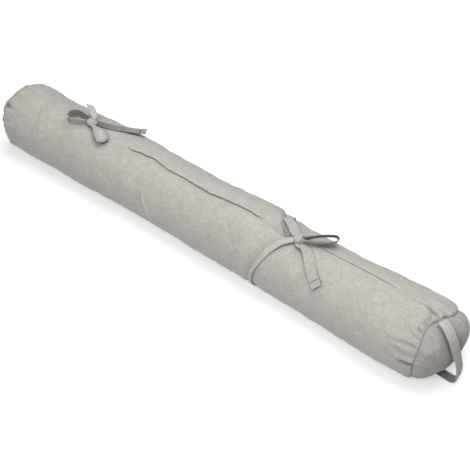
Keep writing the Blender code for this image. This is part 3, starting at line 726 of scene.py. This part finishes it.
def columns_of(rows, places, wanted):
    """The wanted columns of a table, read in straight lines between its rows."""
    rows = np.array(rows)
    return [np.interp(places, rows[:, 0], rows[:, column]) for column in wanted]


def humps(distances, size):
    return np.exp(-((2 * distances / size) ** 2))


def groove(x, turns):
    """How much of the tie's groove there is here, from 0 to 1, and the relief of its flat floor."""
    rows = np.array(RIGHT_BAND)[::-1]
    around = wrapped(turns) * MEAN_RADIUS
    back = np.where(around > rows[-1, 1], around - ROUND, around)
    centre, width, lift = [np.interp(back, rows[:, 1], rows[:, column]) for column in (0, 3, 2)]
    beside = np.abs(x - centre) - width / 2
    share = smooth_steps(1 - lift / GROOVE_LEAVES) * smooth_steps(1 - (beside - GROOVE_MARGIN) / GROOVE_SIDE)
    fullness, shift = girth_at(x)
    samples = np.linspace(FINE_FROM, FINE_TO, GIRTH_SAMPLES)
    band_girths = np.array([girth_at(place) for place in samples])
    band_fullness = np.interp(centre, samples, band_girths[:, 0])
    band_shift = np.interp(centre, samples, band_girths[:, 1])
    level = HALF_HEIGHT * (band_fullness - fullness) + (shift - band_shift) * np.sin(turns)
    return share, level - GROOVE_DEPTH


def folded(table, x, turns):
    height = np.zeros(len(turns))
    for fold in table:
        along = x - fold.x
        if abs(along) > fold.length + fold.width:
            continue
        across = wrapped(turns - fold.around / MEAN_RADIUS) * MEAN_RADIUS
        heading = math.radians(fold.heading)
        down = along * math.cos(heading) + across * math.sin(heading)
        beside = across * math.cos(heading) - along * math.sin(heading)
        height += fold.height * humps(down, fold.length) * humps(beside, fold.width)
    return height


def drawn_in(x, turns):
    """The end seams draw the cloth in, with uneven puckers that run in from them."""
    inside = HALF_LENGTH - abs(x)
    phase = RIGHT_PUCKER_PHASE if x > 0 else LEFT_PUCKER_PHASE
    pucker = sum(wave.share * np.sin(wave.count * turns + wave.phases * phase) for wave in PUCKERS)
    bites = columns_of(RIGHT_BITES if x > 0 else LEFT_BITES, np.degrees(wrapped(turns)), (1,))[0]
    draw = SEAM_DRAW * math.exp(-inside / SEAM_REACH)
    draw = draw + SEAM_BITE * bites * math.exp(-inside / SEAM_BITE_REACH)
    return PUCKER_DEPTH * pucker * math.exp(-inside / PUCKER_REACH) - draw


def gathered(distance, turns, depth, phase):
    """Small gathers beside a seam: strongest a little way in from it, and uneven round it."""
    ripple = sum(wave.share * np.sin(wave.count * turns + wave.phases + phase) for wave in GATHERS)
    uneven = GATHER_EVEN + (1 - GATHER_EVEN) * np.sin(GATHER_LOBES * turns + 2 * phase)
    reach = distance / GATHER_REACH
    return depth * ripple * uneven * reach * np.exp(1 - reach)


def rough(points, unevenness):
    """Soft random bumps of one size at each point."""
    moved = Vector([unevenness.seed * step for step in SEED_STEP])
    places = [Vector(point) / unevenness.size + moved for point in points]
    bumps = [noise.fractal(place, OCTAVE_FALL, OCTAVE_RATIO, unevenness.octaves) for place in places]
    return unevenness.height * np.array(bumps)


def creased(points):
    """A sparse net of crisp creases, raised in some places and sunk in others."""
    lines = rough(points * np.array(CREASE_STRETCH), CREASE_NET) / CREASE_NET.height
    sides = np.clip(CREASE_CONTRAST * rough(points, CREASE_PATCH), -1, 1)
    return CREASE_NET.height * np.exp(-((lines / CREASE_NET_WIDTH) ** 2)) * sides


def column_offsets():
    """Each column's place round the roll from the closure's edge, shut and open, and its lip height."""
    count = round((ROUND - LIP_PROFILE[-1].flat - UNDER_PROFILE[0].flat) / COLUMN_STEP)
    between = np.linspace(LIP_PROFILE[-1].flat, UNDER_PROFILE[0].flat - ROUND, count)[1:-1]
    rows = [(p.flat, p.open, p.height) for p in LIP_PROFILE]
    rows += [(place, place, 0.0) for place in between]
    rows += [(p.flat - ROUND, p.open - ROUND, p.height) for p in UNDER_PROFILE]
    profiled = np.ones(len(rows), bool)
    profiled[len(LIP_PROFILE) : len(LIP_PROFILE) + len(between)] = False
    return np.array(rows), profiled


def roll_ring(x, turns, relief, floor):
    fullness, shift = girth_at(x)
    y = shift - (HALF_WIDTH * fullness + relief) * np.sin(turns)
    z = centre_height(fullness) + (HALF_HEIGHT * fullness + relief) * np.cos(turns)
    over = z - floor
    bent = floor + (over + FOOT_BEND) ** 2 / (4 * FOOT_BEND)
    z = np.where(np.abs(over) < FOOT_BEND, bent, np.maximum(z, floor))
    return np.stack([np.full(len(turns), x), y, z], axis=1)


def cloth_ring(x, detail=1.0):
    """One ring of the cover: its points, and where each lies on the cloth along and round it."""
    offsets, profiled = column_offsets()
    edge, step = columns_of(CLOSURE, x, (1, 2))
    opened = smooth_step(columns_of(SLOT, x, (1,))[0])
    wander_at = Vector((x / LIP_WANDER_SIZE, *LIP_WANDER_SEED))
    wander = noise.fractal(wander_at, OCTAVE_FALL, OCTAVE_RATIO, LIP_OCTAVES)
    places = offsets[:, 0] + (offsets[:, 1] - offsets[:, 0]) * opened
    places = places + np.where(profiled, LIP_WANDER * wander * opened, 0.0)
    around = edge + places
    turns = around / MEAN_RADIUS
    share, floor = groove(x, turns)
    behind = -wrapped(places / MEAN_RADIUS) * MEAN_RADIUS
    soft = step * smooth_steps(0.5 + behind / SOFT_STEP)
    lip = offsets[:, 2] * step / LAP_STEP
    lap = np.where(profiled, lip * opened + soft * (1 - opened), step * smooth_steps(1 - behind / LAP_FADE))
    lap = np.where(~profiled & (behind < 0), 0.0, lap)
    seam_depth = columns_of(SEAM_LINE, x, (1,))[0]
    seam = seam_depth * (humps(places, SEAM_WIDTH) + humps(places + ROUND, SEAM_WIDTH))
    inside = HALF_LENGTH - abs(x)
    skews = RIGHT_SEAM_SKEW if x > 0 else LEFT_SEAM_SKEW
    offset, drawn = columns_of(skews, np.degrees(wrapped(turns)), (1, 2))
    relief = lap + folded(FOLDS, x, turns) + drawn_in(x, turns) - seam * (1 - opened)
    relief = relief - drawn * smooth_step(1 - inside / DRAWN_REACH)
    base = roll_ring(x, turns, relief * 0, 0.0)
    phase = RIGHT_GATHER_PHASE if x > 0 else LEFT_GATHER_PHASE
    fine = folded(CREASES, x, turns) + gathered(inside, turns, GATHER_DEPTH, phase)
    fade = smooth_step(inside / FINE_FADE)
    fine = fine + fade * (sum(rough(base, bumps) for bumps in BUMPS) + creased(base))
    relief = (relief + detail * fine) * (1 - share) + floor * share
    points = roll_ring(x, turns, relief, GROOVE_DEPTH * share)
    points[:, 0] += math.copysign(1, x) * offset * smooth_step(1 - inside / SKEW_REACH)
    return points, np.stack([points[:, 0], around, np.zeros(len(around))], axis=1)


def body_stations():
    count = round(2 * (HALF_LENGTH - END_STATIONS[-1]) / BODY_STEP)
    middle = np.linspace(END_STATIONS[-1] - HALF_LENGTH, HALF_LENGTH - END_STATIONS[-1], count)
    left = [inside - HALF_LENGTH for inside in END_STATIONS[:-1]]
    right = [HALF_LENGTH - inside for inside in reversed(END_STATIONS[:-1])]
    return left + list(middle) + right


def loft(name, rings, cloths, material, painted_shades=None):
    """Joins rings of equal length by quads and closes both ends with a fan.

    The cloth keeps each point's place on it, and how much painted shade darkens it there, in its folds and on
    the inside of its loops.
    """
    count = len(rings[0])
    points = np.concatenate(rings + [[rings[0].mean(axis=0)], [rings[-1].mean(axis=0)]])
    cloth = np.concatenate(cloths + [[cloths[0].mean(axis=0)], [cloths[-1].mean(axis=0)]])
    faces = []
    for ring in range(len(rings) - 1):
        here = ring * count
        for index in range(count):
            following = (index + 1) % count
            faces.append((here + index, here + following, here + count + following, here + count + index))
    last = (len(rings) - 1) * count
    for index in range(count):
        following = (index + 1) % count
        faces.append((index, following, len(points) - 2))
        faces.append((last + index, last + following, len(points) - 1))
    mesh = bpy.data.meshes.new(name)
    mesh.from_pydata([tuple(point) for point in points], [], faces)
    stored = mesh.attributes.new("cloth", "FLOAT_VECTOR", "POINT")
    stored.data.foreach_set("vector", cloth.astype(np.float32).ravel())
    dark = np.zeros(len(points), np.float32)
    if painted_shades is not None:
        dark[:-2] = np.concatenate(painted_shades)
    mesh.attributes.new("fold", "FLOAT", "POINT").data.foreach_set("value", dark)
    shape = bmesh.new()
    shape.from_mesh(mesh)
    bmesh.ops.recalc_face_normals(shape, faces=shape.faces)
    shape.to_mesh(mesh)
    shape.free()
    mesh.shade_smooth()
    mesh.materials.append(material)
    piece = bpy.data.objects.new(name, mesh)
    bpy.context.scene.collection.objects.link(piece)
    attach(piece, "root")
    return piece


def make_body(material):
    rings, cloths = zip(*[cloth_ring(x) for x in body_stations()])
    piece = loft("cover_cloth", list(rings), list(cloths), material)
    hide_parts("cover_body")
    return piece


def make_panel(name, node, side, depth, material):
    """A bulged end panel, gathered a little into its seam."""
    rim, _ = cloth_ring(side * HALF_LENGTH, 0.0)
    offsets, _ = column_offsets()
    edge = columns_of(CLOSURE, side * HALF_LENGTH, (1,))[0]
    turns = (edge + offsets[:, 0]) / MEAN_RADIUS
    fullness, shift = girth_at(side * HALF_LENGTH)
    middle = np.array([side * HALF_LENGTH, shift, centre_height(fullness)])
    rings = []
    cloths = []
    for index in range(PANEL_RINGS + 1):
        rise = PANEL_TOP * (index / PANEL_RINGS) ** RISE_CROWDING
        reach = math.cos(rise) ** (2 / BULGE_POWER)
        slack = SLACK_SHARE * reach * np.maximum(0.0, np.cos(turns - SLACK_TURN)) ** 2
        out = depth * (1 - slack) * math.sin(rise) ** (2 / BULGE_POWER)
        pucker = PANEL_PUCKER_DEPTH * np.sin(PANEL_PUCKERS * turns + side) * math.sin(2 * rise) * reach**3
        ring = middle + (rim - middle) * reach
        ring[:, 0] += side * (out + CLEAR + pucker)
        from_seam = depth * math.sin(rise) + HALF_HEIGHT * (1 - reach)
        swell = gathered(from_seam, turns, PANEL_GATHER_DEPTH, side) + folded_panel(side, turns, from_seam)
        fade = smooth_step(from_seam / PANEL_FADE)
        swell = swell + fade * (sum(rough(ring, bumps) for bumps in BUMPS) + creased(ring))
        outward = ring - (middle - np.array([side * PANEL_HEART, 0, 0]))
        outward = outward / np.linalg.norm(outward, axis=1)[:, None]
        ring = ring + outward * swell[:, None]
        ring[:, 2] = np.maximum(ring[:, 2], 0.0)
        rings.append(ring)
        cloths.append(np.stack([ring[:, 1], ring[:, 2], ring[:, 0]], axis=1))
    piece = loft(name, rings, cloths, material)
    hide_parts(node)
    return piece


def folded_panel(side, turns, from_seam):
    height = np.zeros(len(turns))
    for fold in PANEL_FOLDS[side]:
        across = wrapped(turns - math.radians(fold.degrees)) * MEAN_RADIUS
        height += fold.height * humps(across + fold.lean * (from_seam - fold.inside), fold.width) * humps(
            from_seam - fold.inside, fold.length
        )
    return height


def sheet_section(width, thickness):
    """A flat section with rounded edges, a little thicker along its two hemmed sides."""
    across = np.cos(np.linspace(0, math.pi, RIBBON_PARTS + 1))
    edge = np.sqrt(np.clip(1 - np.abs(across) ** SHEET_SQUARENESS, 0, 1))
    stitches = humps(np.abs(across) - STITCH_PLACE, STITCH_WIDTH)
    ridge = HEM_RIDGE * (humps(np.abs(across) - HEM_PLACE, HEM_WIDTH) - STITCH_SHARE * stitches)
    half = thickness / 2 * np.maximum(edge, SHEET_EDGE) + ridge
    side = across * width / 2
    return np.concatenate([side, side[::-1]]), np.concatenate([half, -half[::-1]])


def cloth_name(node):
    return node.replace("_bow", "") + "_cloth"


def ribbon(tie, table, points, sides, thickness, material):
    """A tie or strap along the points, with hemmed edges, pleats by its knot and slight ripples."""
    rings = []
    cloths = []
    painted_shades = []
    centre = points.mean(axis=0)
    looped = tie.held in LOOPED
    gone = np.concatenate([[0.0], np.cumsum(np.linalg.norm(np.diff(points, axis=0), axis=1))])
    hem_at = gone[-1] - END_HEM_LENGTH
    for point, side, ahead, row, along in zip(points, sides, directions(points), table, gone):
        width, crown = row
        side = side - ahead * side.dot(ahead)
        side = side / np.linalg.norm(side)
        face = np.cross(ahead, side)
        thick = thickness
        hem = 0.0
        if tie.end_hem:
            thick += END_HEM_THICKNESS * smooth_step((along - hem_at) / END_HEM_STEP)
            hem = humps(along - hem_at, 3 * END_HEM_STEP)
        across, height = sheet_section(width, thick)
        near = min(along, gone[-1] - along) * 2 if looped else along
        pleated = tie.pleats * smooth_step(1 - near / (PLEATED_SHARE * gone[-1]))
        pleat = pleated * sum(humps(across / width - place, PLEAT_WIDTH) for place in PLEAT_PLACES)
        arch = crown * (1 - 8 * (across / width) ** 2) - PLEAT_DEPTH * pleat - END_HEM_GROOVE * hem
        ripple_at = Vector((along / RIPPLE_SIZE, width * RIPPLE_BY_WIDTH, points[0][0] * RIPPLE_BY_PLACE))
        tilt = across / width * 2 * RIPPLE * noise.noise(ripple_at)
        # Painted shade: the pleats' valleys, the pleated stretch, the end hem's line and the inside face of a
        # loop are darkened in the colour
        inner = np.sign(height) == np.sign(face.dot(centre - point)) if looped else 0.0
        painted_shades.append(FOLD_SHADE * pleat + PLEATED_SHADE * pleated + HEM_SHADE * hem + INNER_SHADE * inner)
        rings.append(point + side * across[:, None] + face * (height + arch + tilt)[:, None])
        cloths.append(np.stack([np.full(len(across), along), across, height], axis=1))
    piece = loft(cloth_name(tie.node), rings, cloths, material, painted_shades)
    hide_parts(tie.node)
    return piece


def sampled_table(rows, step):
    rows = np.array(rows)
    gaps = np.linalg.norm(np.diff(rows[:, :3], axis=0), axis=1)
    places = np.concatenate([[0.0], np.cumsum(gaps)])
    count = max(3, math.ceil(places[-1] / step))
    return np.array([curve_through(places, rows, places[-1] * index / count) for index in range(count + 1)])


def free_ribbon(tie, rows, thickness, material):
    table = sampled_table(rows, RIBBON_STEP)
    return ribbon(tie, table[:, 6:8], table[:, :3], table[:, 3:6], thickness, material)


def laid_ribbon(tie, rows, material):
    """A tie that follows the roll. Its lift is over the floor of its groove."""
    table = sampled_table(rows, RIBBON_STEP)
    points = []
    outwards = []
    for x, around, lift, _, _ in table:
        turns = np.array([around / MEAN_RADIUS])
        over = lift - GROOVE_DEPTH * groove(x, turns)[0] + LAID_CLEAR + TIE_THICKNESS / 2
        point = roll_ring(x, turns, over, CLEAR + TIE_THICKNESS / 2)[0]
        fullness, shift = girth_at(x)
        points.append(point)
        outwards.append(point - np.array([x, shift, centre_height(fullness)]))
    points = np.array(points)
    sides = []
    for outward, ahead, tilt in zip(outwards, directions(points), table[:, 4]):
        side = np.cross(outward, ahead)
        sides.append(turned(side / np.linalg.norm(side), ahead, tilt))
    sizes = np.stack([table[:, 3], np.zeros(len(table))], axis=1)
    return ribbon(tie, sizes, points, sides, TIE_THICKNESS, material)


def tucked_row(row, knot):
    """A narrower place inside the knot, next to a tie's first or last row."""
    middle = knot
    if isinstance(row, Laid):
        middle = (knot[0], -knot[1] + round(row.around / ROUND) * ROUND, row.lift)
    place = [here + TUCK * (there - here) for here, there in zip(row[:3], middle)]
    return row._replace(**dict(zip(row._fields, place)), width=row.width * TUCKED_WIDTH)


def tucked(tie):
    """A tie's rows, with a place added inside the knot at each end that is knotted."""
    rows = [tucked_row(tie.rows[0], tie.knot)] + tie.rows
    if tie.both_ends:
        rows.append(tucked_row(tie.rows[-1], tie.knot))
    return rows


def turned_on_edge(row):
    """The band is seen narrower where it climbs the front, at the near side of its groove."""
    if row.around > BAND_LOW_FROM:
        return row
    share = smooth_step((row.around - BAND_FRONT_TOP) / (BAND_LOW_FROM - BAND_FRONT_TOP))
    narrower = 1 - (1 - BAND_LOW_WIDTH) * share
    return row._replace(width=row.width * narrower, x=row.x - BAND_LOW_SHIFT * share)


def knot_swell(place, pull, beside):
    """How far the knot stands out at a place on its round form."""
    turn = math.atan2(place.y, place.x)
    lumps = 1 - KNOT_LUMPS + KNOT_LUMPS * math.cos(KNOT_LOBES * turn + KNOT_TWIST * place.z)
    along = place.dot(pull) + WINDING_LEAN * place.dot(beside)
    winding = smooth_step((WINDING_HALF - abs(along)) / WINDING_EDGE)
    pleat = KNOT_PLEAT * math.cos(KNOT_PLEATS_ACROSS * place.dot(beside) + KNOT_PLEATS_UP * place.z)
    crease = KNOT_CREASE * math.cos(KNOT_CREASES * along)
    return lumps + (WINDING_SWELL + crease) * winding + (BESIDE_SWELL + pleat) * (1 - winding)


def make_knot(node, centre, pull, material):
    """The tie wound once round itself."""
    shape = bmesh.new()
    bmesh.ops.create_uvsphere(shape, u_segments=KNOT_COLUMNS, v_segments=KNOT_ROWS, radius=1.0)
    pull = Vector(pull).normalized()
    beside = pull.cross(Vector((0, 0, 1))).normalized()
    for vert in shape.verts:
        place = vert.co.copy()
        swell = knot_swell(place, pull, beside)
        for axis in range(3):
            size = KNOT_HALF_SIZE[axis] * KNOT_GROWTH[axis]
            vert.co[axis] = centre[axis] + place[axis] * swell * size
    name = cloth_name(node)
    mesh = bpy.data.meshes.new(name)
    shape.to_mesh(mesh)
    shape.free()
    mesh.shade_smooth()
    mesh.materials.append(material)
    stored = mesh.attributes.new("cloth", "FLOAT_VECTOR", "POINT")
    cloth = np.array([vert.co for vert in mesh.vertices], np.float32)
    stored.data.foreach_set("vector", cloth.ravel())
    piece = bpy.data.objects.new(name, mesh)
    bpy.context.scene.collection.objects.link(piece)
    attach(piece, "root")
    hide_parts(node)
    return piece


def math_node(nodes, links, operation, first, second):
    node = nodes.new("ShaderNodeMath")
    node.operation = operation
    for socket, value in zip(node.inputs, (first, second)):
        if isinstance(value, (int, float)):
            socket.default_value = value
        else:
            links.new(value, socket)
    return node.outputs[0]


def stretched_noise(nodes, links, place, scale, detail):
    """Noise read at the cloth's place, times a scale for each direction."""
    mapping = nodes.new("ShaderNodeMapping")
    mapping.inputs["Scale"].default_value = scale
    links.new(place, mapping.inputs["Vector"])
    texture = nodes.new("ShaderNodeTexNoise")
    texture.inputs["Scale"].default_value = 1.0
    texture.inputs["Detail"].default_value = detail
    texture.inputs["Roughness"].default_value = GRAIN
    links.new(mapping.outputs["Vector"], texture.inputs["Vector"])
    return texture.outputs["Fac"]


def toned(nodes, links, value, share, middle):
    """A tone that is 1 where the value is at its middle, and changes with it by its share."""
    tone = math_node(nodes, links, "MULTIPLY_ADD", value, share)
    tone.node.inputs[2].default_value = 1 - share * middle
    return tone


def wave_along(nodes, links, distance):
    return math_node(nodes, links, "SINE", math_node(nodes, links, "MULTIPLY", distance, THREADS), 0.0)


def stored_value(nodes, name):
    attribute = nodes.new("ShaderNodeAttribute")
    attribute.attribute_name = name
    return attribute


def cloth_shade(nodes, links, place, threads, contrast):
    """How dark the cloth is: its slubs and mottling, with painted shade in its folds and painted contact
    shade where it is near other cloth or the floor.
    """
    mottle = stretched_noise(nodes, links, place, (MOTTLE, MOTTLE, MOTTLE), 4)
    patch = stretched_noise(nodes, links, place, (PATCH, PATCH, PATCH), 2)
    # Painted shade stored on the cloth for its pleats, hem lines and the inside of its loops
    folds = stored_value(nodes, "fold").outputs["Fac"]
    tones = [
        toned(nodes, links, mottle, contrast * MOTTLE_SHARE, 0.5),
        toned(nodes, links, patch, contrast * PATCH_SHARE, 0.5),
        math_node(nodes, links, "SUBTRACT", 1.0, folds),
    ]
    # Painted contact shade: ambient occlusion darkens the colour near other cloth and the floor
    for contact in SHADES:
        near = nodes.new("ShaderNodeAmbientOcclusion")
        near.samples = SHADE_SAMPLES
        near.inputs["Distance"].default_value = contact.reach
        tones.append(toned(nodes, links, near.outputs["AO"], contact.strength, 1.0))
    shade = toned(nodes, links, threads, contrast, 1.0)
    for tone in tones:
        shade = math_node(nodes, links, "MULTIPLY", shade, tone)
    return shade


def linen(name, colour, contrast):
    """Plain-woven linen: slubs both ways, soft mottling, the threads' relief and a faint sheen."""
    material = bpy.data.materials.new(name)
    material.use_nodes = True
    nodes = material.node_tree.nodes
    links = material.node_tree.links
    shader = nodes["Principled BSDF"]
    shader.inputs["Roughness"].default_value = ROUGHNESS
    shader.inputs["Specular IOR Level"].default_value = SPECULAR
    shader.inputs["Sheen Weight"].default_value = SHEEN
    shader.inputs["Sheen Roughness"].default_value = SHEEN_ROUGHNESS
    place = stored_value(nodes, "cloth").outputs["Vector"]
    lengthwise = stretched_noise(nodes, links, place, (SLUB_ALONG, SLUB_ACROSS, SLUB_LAYERS), 3)
    crosswise = stretched_noise(nodes, links, place, (SLUB_ACROSS, SLUB_ALONG, SLUB_LAYERS), 3)
    threads = math_node(nodes, links, "ADD", lengthwise, crosswise)
    tint = nodes.new("ShaderNodeMix")
    tint.data_type = "RGBA"
    tint.blend_type = "MULTIPLY"
    tint.inputs["Factor"].default_value = 1.0
    tint.inputs["A"].default_value = colour
    links.new(cloth_shade(nodes, links, place, threads, contrast), tint.inputs["B"])
    links.new(tint.outputs["Result"], shader.inputs["Base Color"])
    split = nodes.new("ShaderNodeSeparateXYZ")
    links.new(place, split.inputs[0])
    waves = [wave_along(nodes, links, distance) for distance in split.outputs[:2]]
    weave = math_node(nodes, links, "MULTIPLY", *waves)
    relief = math_node(nodes, links, "MULTIPLY_ADD", threads, THREAD_RELIEF)
    links.new(math_node(nodes, links, "MULTIPLY", weave, WEAVE_RELIEF), relief.node.inputs[2])
    bump = nodes.new("ShaderNodeBump")
    bump.inputs["Strength"].default_value = RELIEF_STRENGTH
    bump.inputs["Distance"].default_value = RELIEF_HEIGHT
    links.new(relief, bump.inputs["Height"])
    links.new(bump.outputs["Normal"], shader.inputs["Normal"])
    return material


def plain(name, colour, roughness):
    material = bpy.data.materials.new(name)
    material.use_nodes = True
    shader = material.node_tree.nodes["Principled BSDF"]
    shader.inputs["Base Color"].default_value = colour
    shader.inputs["Roughness"].default_value = roughness
    shader.inputs["Specular IOR Level"].default_value = 0.0
    return material


def make_ties(material):
    """Both bows, each piece a flat tie of its own length."""
    left_knot = make_knot("left_bow_knot", LEFT_KNOT, LEFT_PULL, material)
    right_knot = make_knot("right_bow_knot", RIGHT_KNOT, RIGHT_PULL, material)
    for tie in FREE_TIES + LAID_TIES:
        rows = tucked(tie)
        if tie.node == "right_bow_band":
            rows = [turned_on_edge(row) for row in rows]
        if tie in LAID_TIES:
            piece = laid_ribbon(tie, rows, material)
        else:
            piece = free_ribbon(tie, rows, TIE_THICKNESS, material)
        flat = (TIE_WIDTH, cloth_length(piece))


def cloth_length(piece):
    """How long a ribbon's cloth is along its middle."""
    stored = np.zeros(len(piece.data.vertices) * 3, np.float32)
    piece.data.attributes["cloth"].data.foreach_get("vector", stored)
    return round(float(stored[::3].max()), 3)


def make_hanging_loop(material):
    piece = free_ribbon(STRAP, STRAP.rows, STRAP_THICKNESS, material)
    flat = (STRAP_WIDTH, cloth_length(piece))


def make_floor():
    """A plain white floor, overexposed as in the photo: the camera sees it brighter than it lights."""
    bpy.ops.mesh.primitive_plane_add(size=FLOOR_SIZE)
    floor = bpy.context.object
    floor.name = "floor"
    material = plain("pale_floor", (FLOOR_COLOUR, FLOOR_COLOUR, FLOOR_COLOUR, 1.0), 1.0)
    nodes = material.node_tree.nodes
    links = material.node_tree.links
    seen = nodes.new("ShaderNodeLightPath")
    shader = nodes["Principled BSDF"]
    shader.inputs["Emission Color"].default_value = (1.0, 1.0, 1.0, 1.0)
    glow = math_node(nodes, links, "MULTIPLY", seen.outputs["Is Camera Ray"], FLOOR_GLOW)
    links.new(glow, shader.inputs["Emission Strength"])
    pale = math_node(nodes, links, "MULTIPLY_ADD", seen.outputs["Is Camera Ray"], FLOOR_COLOUR - FLOOR_BOUNCE)
    pale.node.inputs[2].default_value = FLOOR_BOUNCE
    links.new(pale, shader.inputs["Base Color"])
    floor.data.materials.append(material)


def add_area_light(name, place, aim, size, power):
    light = bpy.data.lights.new(name, "AREA")
    light.shape = "DISK"
    light.size = size
    light.energy = power
    lamp = bpy.data.objects.new(name, light)
    bpy.context.scene.collection.objects.link(lamp)
    lamp.location = place
    lamp.rotation_euler = (Vector(aim) - Vector(place)).to_track_quat("-Z", "Y").to_euler()


def make_light():
    scene = bpy.context.scene
    world = bpy.data.worlds.new("studio")
    scene.world = world
    world.use_nodes = True
    background = world.node_tree.nodes["Background"]
    background.inputs["Color"].default_value = (1.0, 1.0, 1.0, 1.0)
    background.inputs["Strength"].default_value = WORLD_STRENGTH
    for lamp in LAMPS:
        add_area_light(lamp.name, lamp.place, LAMP_AIM, lamp.size, lamp.power)
    scene.view_settings.view_transform = "Standard"


def make_camera():
    right = Vector(CAMERA_RIGHT).normalized()
    back = Vector(CAMERA_BACK).normalized()
    up = back.cross(right)
    camera_data = bpy.data.cameras.new("camera")
    camera_data.lens = CAMERA_LENS_MM
    camera_data.sensor_width = SENSOR_MM
    camera = bpy.data.objects.new("camera", camera_data)
    bpy.context.scene.collection.objects.link(camera)
    turn = Matrix((right, up, back)).transposed()
    camera.matrix_world = Matrix.Translation(CAMERA_AT) @ turn.to_4x4()
    bpy.context.scene.camera = camera


def main():
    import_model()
    make_camera()
    make_light()
    make_floor()
    cover = linen("cover_linen", COVER_COLOUR, COVER_CONTRAST)
    # The end panels get a darker copy of the cover's linen, as painted shade
    panel = linen("shaded_panel_linen", SHADED_PANEL_COLOUR, COVER_CONTRAST)
    tie = linen("tie_cloth_linen", TIE_COLOUR, TIE_CONTRAST)
    make_body(cover)
    make_panel("left_panel_cloth", "end_panel_left", -1, LEFT_BULGE, panel)
    make_panel("right_panel_cloth", "end_panel_right", 1, RIGHT_BULGE, panel)
    make_ties(tie)
    make_hanging_loop(tie)


main()
